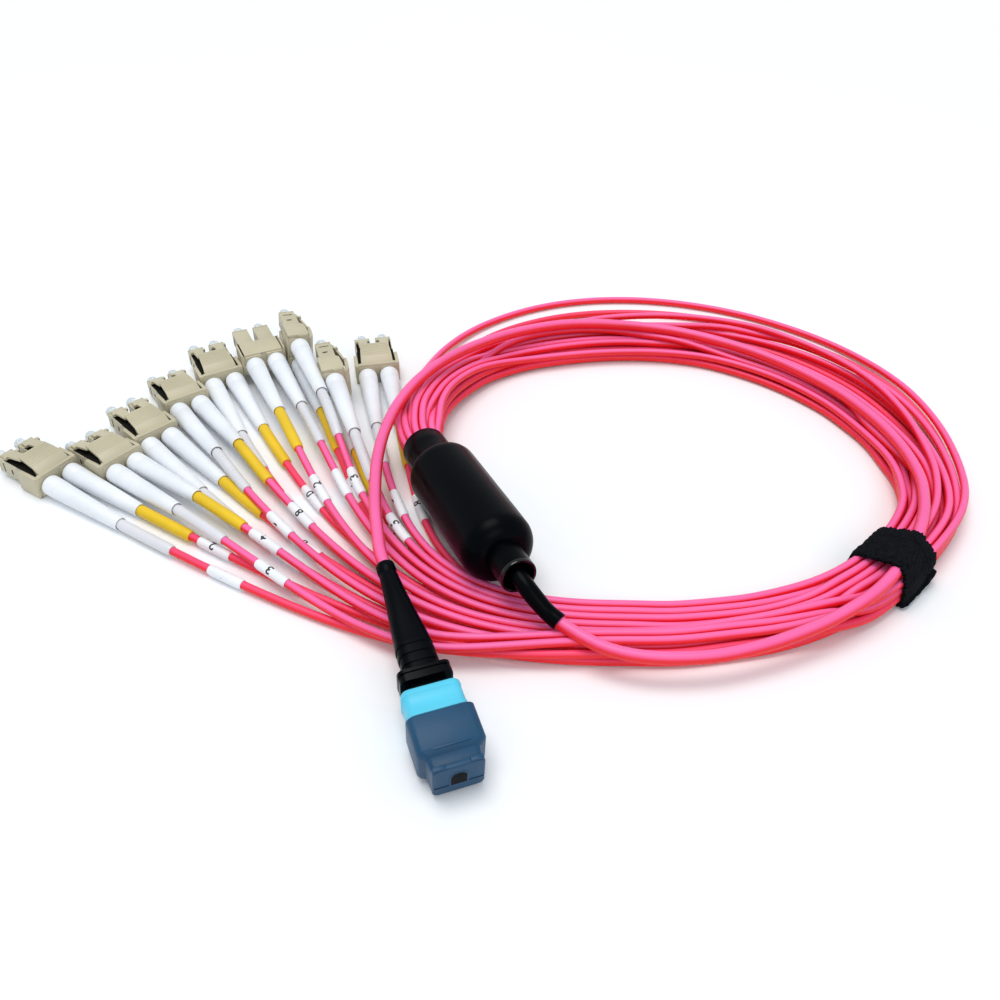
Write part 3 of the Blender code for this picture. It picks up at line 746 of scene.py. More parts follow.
def tail_fan(pair, side, lane):
    """One tail of the fan, from the bundle's end face to its boot."""
    column, layer = lane
    leaving, meeting, settling = TAIL_LANES[pair][2:]
    place = duplex_place(DUPLEX_PLUGS[pair])
    rear = place @ Vector((-TAIL_BOOT_LENGTH - 2 * GAP, side * DUPLEX_PITCH / 2, 0.0))
    leave = -(place.to_3x3() @ Vector((1.0, 0.0, 0.0)))
    path = bundle_path()
    here, forward, across, _, _, _ = section_at(path, len(path) - 1)
    end = here + forward * GAP + across * (4 - column) * LANE_PITCH
    end.z = LOWER_LAYER_HEIGHT + layer * LAYER_PITCH
    span = (end - rear).length
    points = []
    for i in range(49):
        t = i / 48
        at_rear = (1 + 2 * t) * (1 - t) ** 2
        from_rear = t * (1 - t) ** 2 * leaving * span
        at_end = t * t * (3 - 2 * t)
        to_end = t * t * (1 - t) * meeting * span
        point = rear * at_rear + leave * from_rear + end * at_end + forward * to_end
        ease = smoothstep(t / settling)
        point.z = rear.z + (end.z - rear.z) * ease
        points.append([*point])
    points.reverse()
    points.append([*(rear - leave * BOOT_OVERLAP)])
    return points


def strand_paths():
    """Every tail's own line, from inside the housing's neck to inside its boot."""
    if STRANDS:
        return STRANDS
    path = spaced(bundle_path(), COIL_STATIONS)
    trunk = [Vector(point) for point in spaced(trunk_points(), 300)]
    stray = [[math.radians(a), r * MM, z * MM] for a, r, z in STRAY_ROUTE]
    lanes = []
    for pair, row in enumerate(TAIL_LANES):
        lanes.append((pair, "a", 1, row[0]))
        lanes.append((pair, "b", -1, row[1]))
    stray_lane = (0, 1)
    table = []
    limits = []
    for index in range(len(path)):
        here, forward, side, up, half_width, half_height = section_at(path, index)
        share = index / (len(path) - 1)
        fixed = []
        if share > 0.08:
            near = min(trunk, key=lambda point: (point - here).length)
            offset = near - here
            if abs(offset.dot(forward)) < 3.0 * MM:
                fixed.append((offset.dot(side), offset.dot(up), CLEAR_OF_TRUNK))
        angle = math.atan2(here.y - COIL_CENTRE.y, here.x - COIL_CENTRE.x)
        if angle < -2.2:
            angle += 2 * math.pi
        places = []
        for _, _, _, lane in lanes:
            place = list(lane_in_section(lane, share, half_width, half_height))
            if lane == stray_lane and stray[-1][0] < angle < stray[0][0]:
                k = next(i for i in range(1, len(stray)) if stray[i][0] <= angle)
                part = (stray[k - 1][0] - angle) / (stray[k - 1][0] - stray[k][0])
                radius = stray[k - 1][1] + (stray[k][1] - stray[k - 1][1]) * part
                height = stray[k - 1][2] + (stray[k][2] - stray[k - 1][2]) * part
                own = math.hypot(here.x - COIL_CENTRE.x, here.y - COIL_CENTRE.y)
                edge = smoothstep((stray[0][0] - angle) / 0.2) * smoothstep((angle - stray[-1][0]) / 0.25)
                place[0] += (radius - own - place[0]) * edge
                place[1] += (height - here.z - place[1]) * edge
            places.append(place)
        limits.append((fixed, FLOOR_CLEARANCE - here.z))
        table.append(places)
    for strength in (1.0,) * 10 + (0.5,) * 8 + (0.25,) * 4:
        for places, (fixed, floor) in zip(table, limits):
            settle_section(places, fixed, floor, 10)
        table = eased(table, strength)
    for k, (pair, letter, sign, lane) in enumerate(lanes):
        points = []
        for index in range(len(path)):
            here, forward, side, up, _, _ = section_at(path, index)
            across, height = table[index][k]
            points.append(here + side * across + up * height)
        fan = [Vector(point) for point in tail_fan(pair, sign, lane)]
        drift = points[-1] - fan[0]
        # a strand that lies on others moves across them first and comes down afterwards
        for i in range(len(fan)):
            across = 1.0 - smoothstep(i / 20)
            height = 1.0 - smoothstep((i - 9) / 20)
            fan[i] = fan[i] + Vector((drift.x * across, drift.y * across, drift.z * height))
        points = points[:-1] + fan
        for _ in range(2):
            inner = [(a + b * 2 + c) / 4 for a, b, c in zip(points, points[1:], points[2:])]
            points = [points[0]] + inner + [points[-1]]
        STRANDS.append((pair, letter, sign, [[*point] for point in points]))
    return STRANDS


def cord_object(name, curve, diameter, material, step=2.4):
    """A round cord along a curve, as one open spline."""
    count = max(8, round(length_of(curve) / (step * MM)))
    data = bpy.data.curves.new(name, "CURVE")
    data.dimensions = "3D"
    data.bevel_depth = diameter / 2
    data.bevel_resolution = 4
    data.use_fill_caps = True
    spline = data.splines.new("POLY")
    spline.points.add(count - 1)
    for target, point in zip(spline.points, spaced(curve, count)):
        target.co = (*point[:3], 1.0)
    spline.use_smooth = True
    data.materials.append(material)
    item = bpy.data.objects.new(name, data)
    bpy.context.scene.collection.objects.link(item)
    return item


# Settings

class BreakoutCableSettings(bpy.types.PropertyGroup):
    tail_diameter: bpy.props.FloatProperty(
        name="Tail diameter", description="Diameter of each tail", default=0.002, unit="LENGTH")
    trunk_diameter: bpy.props.FloatProperty(
        name="Trunk diameter", description="Diameter of the trunk", default=0.003, unit="LENGTH")
    sleeve_length: bpy.props.FloatProperty(
        name="Sleeve length", description="Length of the coloured sleeve behind each boot",
        default=0.0175, unit="LENGTH")
    label_start: bpy.props.FloatProperty(
        name="Label start", description="Distance from a boot to its number label",
        default=0.0295, unit="LENGTH")
    label_length: bpy.props.FloatProperty(
        name="Label length", description="Length of each number label", default=0.010, unit="LENGTH")
    floor_size: bpy.props.FloatProperty(
        name="Floor size", description="Side of the pale floor", default=6.0, unit="LENGTH")
    camera_tilt: bpy.props.FloatProperty(
        name="Camera tilt", description="How far the camera looks down", default=math.radians(40.0),
        subtype="ANGLE")
    camera_height: bpy.props.FloatProperty(
        name="Camera height", description="Height of the camera", default=0.1688, unit="LENGTH")


def settings():
    return bpy.context.scene.breakout_cable


# Stage

class CABLE_OT_stage(bpy.types.Operator):
    """Camera, pale floor and soft studio light"""
    bl_idname = "cable.stage"
    bl_label = "Stage"

    def execute(self, context):
        chosen = settings()
        lens = bpy.data.cameras.new("camera")
        lens.sensor_width = 36.0
        lens.lens = 36.936
        lens.clip_start = 0.005
        camera = bpy.data.objects.new("camera", lens)
        context.scene.collection.objects.link(camera)
        camera.location = (0.0149, -0.1953, chosen.camera_height)
        camera.rotation_euler = (math.radians(90.0) - chosen.camera_tilt, 0.0, 0.0)
        context.scene.camera = camera

        half = chosen.floor_size / 2

        def sheet(shape):
            corners = ((-half, -half), (half, -half), (half, half), (-half, half))
            shape.faces.new([shape.verts.new((x, y, 0.0)) for x, y in corners])
        floor = bpy.data.objects.new("floor", mesh_from("floor", sheet, [floor_material()]))
        context.scene.collection.objects.link(floor)

        world = bpy.data.worlds.new("studio")
        world.use_nodes = True
        world.node_tree.nodes["Background"].inputs["Color"].default_value = (0.87, 0.945, 1.0, 1.0)
        world.node_tree.nodes["Background"].inputs["Strength"].default_value = 0.62
        context.scene.world = world
        context.scene.view_settings.view_transform = "Standard"
        context.scene.view_settings.look = "None"

        # light, where it comes from, strength and softness in degrees
        lamps = (
            ("key_light", (-0.14, 0.12, 1.0), 1.55, 36.0, (1.0, 0.975, 0.95)),
            ("front_light", (0.35, -0.9, 0.85), 0.48, 36.0, (0.95, 0.98, 1.0)),
        )
        for name, place, strength, spread, colour in lamps:
            data = bpy.data.lights.new(name, "SUN")
            data.energy = strength
            data.angle = math.radians(spread)
            data.color = colour
            lamp = bpy.data.objects.new(name, data)
            context.scene.collection.objects.link(lamp)
            lamp.location = place
            lamp.rotation_euler = (-Vector(place)).to_track_quat("-Z", "Y").to_euler()
        return {"FINISHED"}


# Cords

class CABLE_OT_cords(bpy.types.Operator):
    """The trunk, its shrink tube and the eighteen tails"""
    bl_idname = "cable.cords"
    bl_label = "Cords"

    def execute(self, context):
        chosen = settings()
        pink = jacket_material()
        curve = trunk_points()
        forward = heading(PLUG_HEADING, -PLUG_DROP)
        start = Vector(curve[0]) - (Vector(curve[1]) - Vector(curve[0])).normalized() * 2.0 * MM
        curve = [[*start]] + curve + [[*(PLUG_START + forward * 2.0 * MM)]]
        trunk = cord_object("trunk", curve, chosen.trunk_diameter, pink)
        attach(trunk, "cable")
        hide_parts("trunk_cord")
        # the lower layer's tails take a redder copy of the jacket, painted shade from the tails above them
        deep = jacket_material("pink_jacket_painted_shade", (0.94, 0.066, 0.175))
        for pair, letter, _, points in strand_paths():
            name = f"strand_{pair + 1}{letter}"
            layer = TAIL_LANES[pair]["ab".index(letter)][1]
            strand = cord_object(name, points, chosen.tail_diameter, pink if layer else deep)
            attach(strand, "cable")
            nodes = [f"tail_{pair + 1}{letter}", "coil_bundle"]
            if (pair, letter) == (1, "a"):
                nodes.append("tail_stray_loop")
            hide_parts(*nodes)
        self.make_relief()
        return {"FINISHED"}

    def make_relief(self):
        """Shrink tube, slightly waisted where it grips the trunk."""
        points = [Vector(point[:3]) for point in spaced(relief_points(), 28)]
        radii = []
        for i in range(len(points)):
            share = i / (len(points) - 1)
            radius = 2.1 - 0.12 * smoothstep((share - 0.3) / 0.3) + 0.05 * math.sin(14.0 * share)
            radii.append(radius * MM)
        rings = tube_rings(points, radii, 32)
        centre = points[-1]
        hole = 1.52 * MM / radii[-1]
        rings.append([centre + (point - centre) * hole for point in rings[-1]])
        black = moulded("shrink_black", (0.0008, 0.001, 0.0014), 0.32, 500.0, 0.00003, gloss=0.05)
        mesh = mesh_from("shrink_tube", lambda shape: skin(shape, rings), [black], 50.0)
        place_piece("shrink_tube", mesh, Matrix.Identity(4), "cable", "shrink_tube", "trunk_strain_relief")


# Sleeves and labels

class CABLE_OT_markers(bpy.types.Operator):
    """Coloured sleeves and number labels on the tails"""
    bl_idname = "cable.markers"
    bl_label = "Sleeves and labels"

    def execute(self, context):
        chosen = settings()
        yellow = moulded("yellow_sleeve", (0.82, 0.54, 0.018), 0.42, 500.0, 0.00002, 0.07, gloss=0.3)
        clear = clear_sleeve_material()
        white = moulded("label_white", (0.86, 0.87, 0.90), 0.5, 600.0, 0.00001, 0.04)
        ink = moulded("label_ink", (0.02, 0.02, 0.025), 0.5, 600.0, 0.00001, 0.1)
        for number, (pair, letter, _, points) in enumerate(strand_paths()):
            boot_end = length_of(points) - BOOT_OVERLAP
            sleeve = stretch_of(points, boot_end - chosen.sleeve_length, boot_end + 0.8 * MM, 16)
            colour = yellow if letter == "b" else clear
            radius = 1.5 * MM if letter == "b" else 1.42 * MM
            self.wrap(f"sleeve_{pair + 1}{letter}", sleeve, radius, [colour])
            # two labels sit closer to their sleeves than the others
            closer = 9.0 * MM if letter == "b" and pair < 2 else 0.0
            start = boot_end - chosen.label_start - chosen.label_length + closer
            label = stretch_of(points, start, start + chosen.label_length, 12)
            self.wrap(f"label_{pair + 1}{letter}", label, 1.3 * MM, [white, ink], str(number + 1))
        return {"FINISHED"}

    def wrap(self, name, points, radius, materials, text=""):
        """A thin sleeve round a cord, with a plain number on its upper side if it has one."""
        core = 1.02 * MM
        soft = 0.25 * radius
        points = [Vector((point.x, point.y, max(point.z, radius + 0.05 * MM))) for point in points]
        radii = [radius] * len(points)
        radii[0] = radius - soft * 0.5
        radii[-1] = radius - soft * 0.5
        rings = tube_rings(points, radii, 28)
        lips = []
        for end in (0, -1):
            centre = points[end]
            lips.append([centre + (point - centre).normalized() * core for point in rings[end]])
        rings = [lips[0]] + rings + [lips[1]]

        def build(shape):
            skin(shape, rings, slot=0, cap=False)
            if text:
                self.print_number(shape, points, radius, text)
        mesh = mesh_from(name, build, materials, 50.0)
        place_piece(name, mesh, Matrix.Identity(4), "cable", "tail_jacket")

    def print_number(self, shape, points, radius, text):
        data = bpy.data.curves.new("number", "FONT")
        data.body = text
        data.size = 3.3 * MM
        data.offset = 0.07 * MM
        data.resolution_u = 3
        data.align_x = "CENTER"
        data.align_y = "CENTER"
        holder = bpy.data.objects.new("number", data)
        bpy.context.scene.collection.objects.link(holder)
        bpy.context.view_layer.update()
        graph = bpy.context.evaluated_depsgraph_get()
        flat = bpy.data.meshes.new_from_object(holder.evaluated_get(graph))
        middle = points[len(points) // 2]
        forward = (points[len(points) // 2 + 1] - points[len(points) // 2 - 1]).normalized()
        place = Matrix.Translation(middle) @ frame_along(forward)
        lifted = radius + 0.03 * MM
        made = []
        for vertex in flat.vertices:
            angle = vertex.co.y / radius + math.radians(12.0)
            local = Vector((vertex.co.x, math.sin(angle) * lifted, math.cos(angle) * lifted))
            made.append(shape.verts.new(place @ local))
        for polygon in flat.polygons:
            face = shape.faces.new([made[i] for i in polygon.vertices])
            face.material_index = 1
        bpy.data.objects.remove(holder, do_unlink=True)
        bpy.data.meshes.remove(flat)


# Housing

class CABLE_OT_housing(bpy.types.Operator):
    """Round black breakout housing with an open neck at each end"""
    bl_idname = "cable.housing"
    bl_label = "Breakout housing"

    def execute(self, context):
        profile = [
            (3.2, 0.05), (3.2, 5.2), (0.25, 5.25), (0.0, 5.4), (0.0, 5.65), (0.25, 5.85),
            (4.5, 5.85), (9.1, 5.9), (9.7, 6.05), (10.6, 6.7), (12.0, 8.0), (12.8, 8.5),
            (13.8, 8.75), (15.0, 8.8), (24.0, 8.8), (36.0, 8.8), (44.0, 8.8), (45.6, 8.78),
        ]
        fall = 8.8 - 4.35
        for i in range(1, 13):
            angle = math.radians(90.0 * i / 12)
            profile.append((46.0 + 5.0 * math.sin(angle), 4.35 + fall * math.cos(angle)))
        profile += [
            (51.6, 4.3), (54.0, 4.28), (57.6, 4.25), (58.2, 4.3), (58.5, 4.18), (58.5, 3.7),
            (58.3, 3.55), (57.5, 3.5), (54.4, 3.5), (54.4, 0.05),
        ]
        rings = turned_rings([(x * MM, radius * MM) for x, radius in profile], 96)
        black = moulded("housing_black", (0.0006, 0.0012, 0.002), 0.3, 1100.0, 0.00002, 0.2, 0.5, 0.045)
        shiny = moulded("rim_black", (0.001, 0.0014, 0.002), 0.12, 1100.0, 0.00001, 0.2, 0.3, 0.5)

        def build(shape):
            lip = len(rings) - 8
            skin(shape, rings[:lip + 1], cap=False)
            skin(shape, rings[lip:-2], slot=1, cap=False)
            skin(shape, rings[-3:], cap=False)
            for ring in (list(reversed(rings[0])), rings[-1]):
                shape.faces.new([shape.verts.new(point) for point in ring])
            bmesh.ops.remove_doubles(shape, verts=shape.verts, dist=0.000001)
        mesh = mesh_from("housing", build, [black, shiny], 40.0)
        place = Matrix.Translation(HOUSING_START) @ frame_along(heading(HOUSING_HEADING, HOUSING_RISE))
        place_piece("housing", mesh, place, "cable", "housing", "breakout_housing")
        return {"FINISHED"}


# Strap

class CABLE_OT_strap(bpy.types.Operator):
    """Black hook-and-loop strap drawn tight round the strands"""
    bl_idname = "cable.strap"
    bl_label = "Strap"

    def execute(self, context):
        path = spaced(bundle_path(), COIL_STATIONS)
        strands = strand_paths()
        trunk = [Vector(point) for point in spaced(trunk_points(), 400)]
        centre = COIL_CENTRE + heading(STRAP_PLACE) * STRAP_RADIUS
        middle = min(range(len(path)), key=lambda i: (Vector(path[i][:2]) - centre.xy).length)
        station = length_of(path) / (len(path) - 1)
        inner_rings = []
        outer_rings = []
        rows = 14
        for row in range(rows + 1):
            share = -1.0 + 2.0 * row / rows
            along = middle + share * STRAP_HALF_WIDTH / station
            index = math.floor(along)
            part = along - index
            here, forward, side, up, _, _ = section_at(path, index)
            after, forward_after, _, _, _, _ = section_at(path, index + 1)
            here = here.lerp(after, part)
            forward = forward.lerp(forward_after, part).normalized()
            side = Vector((0.0, 0.0, 1.0)).cross(forward).normalized()
            up = forward.cross(side)
            round_what = []
            for _, _, _, points in strands:
                near = Vector(points[index][:3]).lerp(Vector(points[index + 1][:3]), part) - here
                round_what.append((near.dot(side), near.dot(up), 1.02 * MM))
            crossing = min(trunk, key=lambda point: (point - here).length) - here
            round_what.append((crossing.dot(side), crossing.dot(up), 1.5 * MM))
            edge = 1.0 - 0.3 * abs(share) ** 6
            for rings, grow in ((inner_rings, 0.06 * MM), (outer_rings, (0.06 + 1.05 * edge) * MM)):
                ring = []
                for k, (across, height) in enumerate(self.outline(round_what, grow)):
                    wobble = 0.0
                    if rings is outer_rings:
                        wobble = 0.09 * math.sin(k * 1.9 + row * 2.3) + 0.07 * math.sin(k * 0.7 - row * 1.1)
                        wobble *= MM
                    frayed = 0.30 * math.sin(k * 2.6) + 0.18 * math.sin(k * 1.1)
                    slide = frayed * share * abs(share) ** 3 * MM
                    out = Vector((across, height)).normalized() * wobble
                    place = here + side * (across + out.x) + up * (height + out.y) + forward * slide
                    lowest = (0.85 if rings is inner_rings else 0.12) * MM
                    ring.append(Vector((place.x, place.y, max(place.z, lowest))))
                rings.append(ring)
        weave = strap_material()
        rings = inner_rings + list(reversed(outer_rings))

        def build(shape):
            skin(shape, rings, closed=True)
            self.tab(shape, outer_rings)
        mesh = mesh_from("strap", build, [weave], 60.0)
        place_piece("strap", mesh, Matrix.Identity(4), "cable", "strap", "tie_strap")
        return {"FINISHED"}

    def outline(self, round_what, grow):
        points = []
        for across, height, radius in round_what:
            for i in range(20):
                angle = 2.0 * math.pi * i / 20
                reach = radius + grow
                points.append((across + reach * math.cos(angle), height + reach * math.sin(angle)))
        hull = self.hull(points)
        start = max(range(len(hull)), key=lambda i: hull[i][0])
        ring = hull[start:] + hull[:start] + [hull[start]]
        flat = [[x, y, 0.0] for x, y in ring]
        return [(x, y) for x, y, _ in spaced(flat, 97)[:-1]]

    def hull(self, points):
        ordered = sorted(points)
        halves = []
        for run in (ordered, list(reversed(ordered))):
            half = []
            for point in run:
                while len(half) > 1:
                    ax, ay = half[-1][0] - half[-2][0], half[-1][1] - half[-2][1]
                    bx, by = point[0] - half[-2][0], point[1] - half[-2][1]
                    if ax * by - ay * bx > 0:
                        break
                    half.pop()
                half.append(point)
            halves += half[:-1]
        return halves

    def tab(self, shape, rings):
        """The strap's free end, lying on its outer side."""
        first = 2
        last = 22
        thick = 0.9 * MM
        grid = []
        for ring in rings:
            centre = sum(ring, Vector()) / len(ring)
            line = []
            for k in range(first, last):
                point = ring[-k % len(ring)]
                out = (point - centre).normalized()
                lift = thick * (1.0 if k < last - 1 else 0.25)
                under = point - out * 0.1 * MM
                over = point + out * lift
                under.z = max(under.z, 0.12 * MM)
                over.z = max(over.z, 0.1 * MM)
                line.append((under, over))
            grid.append(line)
        count = last - first
        low = [[shape.verts.new(pair[0]) for pair in line] for line in grid]
        high = [[shape.verts.new(pair[1]) for pair in line] for line in grid]
        for r in range(len(grid) - 1):
            for k in range(count - 1):
                shape.faces.new((high[r][k], high[r][k + 1], high[r + 1][k + 1], high[r + 1][k]))
                shape.faces.new((low[r][k], low[r + 1][k], low[r + 1][k + 1], low[r][k + 1]))
        for r in range(len(grid) - 1):
            shape.faces.new((low[r][0], high[r][0], high[r + 1][0], low[r + 1][0]))
            shape.faces.new((low[r][-1], low[r + 1][-1], high[r + 1][-1], high[r][-1]))
        for k in range(count - 1):
            shape.faces.new((low[0][k], low[0][k + 1], high[0][k + 1], high[0][k]))
            shape.faces.new((low[-1][k], high[-1][k], high[-1][k + 1], low[-1][k + 1]))


# Multi-fibre plug

class CABLE_OT_multi_fibre_plug(bpy.types.Operator):
    """Boot, body, sliding sleeve and dust cap of the multi-fibre plug"""
    bl_idname = "cable.multi_fibre_plug"
    bl_label = "Multi-fibre plug"

    def execute(self, context):
        forward = heading(PLUG_HEADING, -PLUG_DROP)
        place = Matrix.Translation(PLUG_START) @ frame_along(forward)
        flange_end = BOOT_LENGTH + FLANGE_LENGTH
        black = moulded("plug_black", (0.001, 0.0016, 0.003), 0.36, 900.0, 0.00003, 0.2, 0.5, 0.05)
        self.make_boot(place, black)
        self.make_body(place, flange_end)
        sleeve_start = flange_end + SLEEVE_SETBACK
        self.make_sleeve(place, sleeve_start, sleeve_start + SLEEVE_LENGTH)
        cap_start = sleeve_start + SLEEVE_LENGTH + GAP
        self.make_cap(place, cap_start, cap_start + CAP_LENGTH, flange_end + CORE_LENGTH)
        return {"FINISHED"}

    def make_boot(self, place, black):
        """A tapered rubber boot with a collar at its thin end and rings by the flange."""
        profile = [(0.6, 1.55), (0.0, 1.6), (0.0, 1.95), (0.3, 2.1), (2.2, 2.15), (2.6, 1.95), (3.0, 1.95)]
        x = 3.0
        while x < 20.5:
            share = (x - 3.0) / 19.0
            radius = 2.0 + 1.55 * share
            profile += [(x + 0.4, radius + 0.06), (x + 1.5, radius + 0.13)]
            x += 1.9
        profile += [(22.3, 3.62), (23.0, 3.7), (23.4, 3.7), (23.6, 3.4), (24.3, 3.4), (24.5, 3.7)]
        profile += [(25.6, 3.7), (25.8, 3.4), (26.5, 3.4), (26.7, 3.7)]
        profile += [(27.9, 3.7), (28.1, 3.45), (29.2, 3.45)]
        rings = turned_rings([(x * MM, radius * MM) for x, radius in profile], 48)

        def squared(shape):
            shaped = []
            for ring in rings:
                share = smoothstep((ring[0].x - 6.0 * MM) / (16.0 * MM))
                row = []
                for point in ring:
                    radius = math.hypot(point.y, point.z)
                    angle = math.atan2(point.z, point.y)
                    cosine = math.cos(angle)
                    sine = math.sin(angle)
                    power = 1.0 - 0.35 * share
                    y = radius * (1.0 + 0.08 * share) * math.copysign(abs(cosine) ** power, cosine)
                    z = radius * (1.0 - 0.12 * share) * math.copysign(abs(sine) ** power, sine)
                    row.append(Vector((point.x, y, z)))
                shaped.append(row)
            skin(shape, shaped)
        place_piece("mpo_boot_skin", mesh_from("mpo_boot_skin", squared, [black], 40.0), place,
                    "cable", "mpo_boot", "mpo_boot")

    def make_body(self, place, flange_end):
        gloss = moulded("body_black", (0.001, 0.0016, 0.0026), 0.26, 900.0, 0.00002, 0.15, gloss=0.08)

        def build(shape):
            start = BOOT_LENGTH
            skin(shape, [
                section_ring(start, 9.8 * MM, 6.8 * MM, 1.6 * MM),
                section_ring(start + 0.3 * MM, 11.0 * MM, 7.8 * MM, 1.6 * MM),
                section_ring(start + 1.0 * MM, 11.0 * MM, 7.8 * MM, 1.6 * MM),
                section_ring(start + 1.15 * MM, 10.4 * MM, 7.2 * MM, 1.5 * MM),
                section_ring(start + 1.5 * MM, 10.4 * MM, 7.2 * MM, 1.5 * MM),
                section_ring(start + 1.65 * MM, 11.0 * MM, 7.8 * MM, 1.6 * MM),
                section_ring(flange_end, 11.0 * MM, 7.8 * MM, 1.6 * MM),
                section_ring(flange_end, 8.0 * MM, 4.4 * MM, 0.8 * MM),
                section_ring(flange_end + CORE_LENGTH, 8.0 * MM, 4.4 * MM, 0.8 * MM),
            ])
        place_piece("mpo_body_skin", mesh_from("mpo_body_skin", build, [gloss], 40.0), place,
                    "cable", "mpo_body", "mpo_body")

    def make_sleeve(self, place, start, end):
        aqua = moulded("aqua_sleeve", (0.10, 0.60, 0.82), 0.4, 900.0, 0.00002, 0.05, gloss=0.3)

        def build(shape):
            inner_width = 8.7 * MM
            inner_height = 5.1 * MM
            skin(shape, [
                section_ring(start, inner_width, inner_height, 0.9 * MM),
                section_ring(start, 11.6 * MM, 7.0 * MM, 1.5 * MM),
                section_ring(start + 0.35 * MM, 12.2 * MM, 7.6 * MM, 1.8 * MM),
                section_ring(start + 1.3 * MM, 12.4 * MM, 7.8 * MM, 1.8 * MM),
                section_ring(start + 1.5 * MM, 12.1 * MM, 7.5 * MM, 1.7 * MM),
                section_ring(end - 1.2 * MM, 12.1 * MM, 7.5 * MM, 1.7 * MM),
                section_ring(end - 1.0 * MM, 12.4 * MM, 7.8 * MM, 1.8 * MM),
                section_ring(end - 0.2 * MM, 12.4 * MM, 7.8 * MM, 1.8 * MM),
                section_ring(end, 12.0 * MM, 7.4 * MM, 1.6 * MM),
                section_ring(end, inner_width, inner_height, 0.9 * MM),
            ], closed=True)
        place_piece("mpo_sleeve_skin", mesh_from("mpo_sleeve_skin", build, [aqua], 40.0), place,
                    "sleeve", "mpo_sleeve", "mpo_sleeve")

    def make_cap(self, place, start, end, core_end):
        slate = moulded("slate_cap", (0.0155, 0.0675, 0.142), 0.38, 900.0, 0.00003, 0.08, gloss=0.2)
        # dark material for painted shade: the hole and slots in the cap's front face are dark sheets, not
        # openings
        dark = moulded("cap_hole_painted_shade", (0.002, 0.0025, 0.003), 0.6, 900.0, 0.00002, 0.1, gloss=0.1)

        def build(shape):
            skin(shape, [
                section_ring(core_end + GAP, 8.7 * MM, 5.1 * MM, 0.9 * MM),
                section_ring(start, 8.7 * MM, 5.1 * MM, 0.9 * MM),
                section_ring(start, 13.0 * MM, 9.2 * MM, 1.5 * MM),
                section_ring(start + 0.4 * MM, 13.8 * MM, 10.0 * MM, 1.6 * MM),
                section_ring(end - 4.9 * MM, 13.8 * MM, 10.0 * MM, 1.6 * MM),
                section_ring(end - 4.3 * MM, 13.2 * MM, 9.6 * MM, 1.6 * MM, 0.1 * MM),
                section_ring(end - 3.6 * MM, 10.8 * MM, 8.6 * MM, 1.3 * MM, 0.4 * MM),
                section_ring(end - 1.4 * MM, 10.4 * MM, 8.0 * MM, 1.2 * MM, 0.6 * MM),
                section_ring(end - 1.2 * MM, 10.4 * MM, 9.2 * MM, 1.2 * MM),
                section_ring(end - 0.2 * MM, 10.4 * MM, 9.2 * MM, 1.2 * MM),
                section_ring(end, 10.0 * MM, 8.8 * MM, 1.1 * MM),
            ])
            length = end / MM
            box(shape, (length - 5.0, -3.8, 4.7), (length - 4.5, 3.8, 5.0))
            # the hole in the front face: a slate arch rim round a dark arch sheet, painted shade of the hole
            for radius, depth, slot in ((2.0, 0.09, 0), (1.62, 0.13, 1)):
                back = []
                front = []
                outline = [(radius, -1.8)]
                for i in range(17):
                    turn = math.pi * i / 16
                    outline.append((radius * math.cos(turn), 0.6 + radius * math.sin(turn)))
                outline.append((-radius, -1.8))
                for y, z in outline:
                    back.append(Vector((length - 0.3, y, z)) * MM)
                    front.append(Vector((length + depth, y, z)) * MM)
                skin(shape, [back, front], slot=slot)
            for sign in (-1, 1):
                low, high = sorted((sign * 1.9, sign * 4.9))
                # a dark strip standing proud of the face, painted shade of a slot
                box(shape, (length - 0.25, low, -1.95), (length + 0.04, high, -1.6), 1)
                box(shape, (length - 0.25, low, -1.6), (length + 0.07, high, -1.45))
                low, high = sorted((sign * 2.4, sign * 4.9))
                box(shape, (length - 1.1, low, 4.5), (length - 0.15, high, 4.95))
        mesh = mesh_from("mpo_cap_skin", build, [slate, dark], 40.0, 0.08 * MM)
        place_piece("mpo_cap_skin", mesh, place, "dust_cap", "mpo_cap", "mpo_dust_cap")


# Duplex plugs

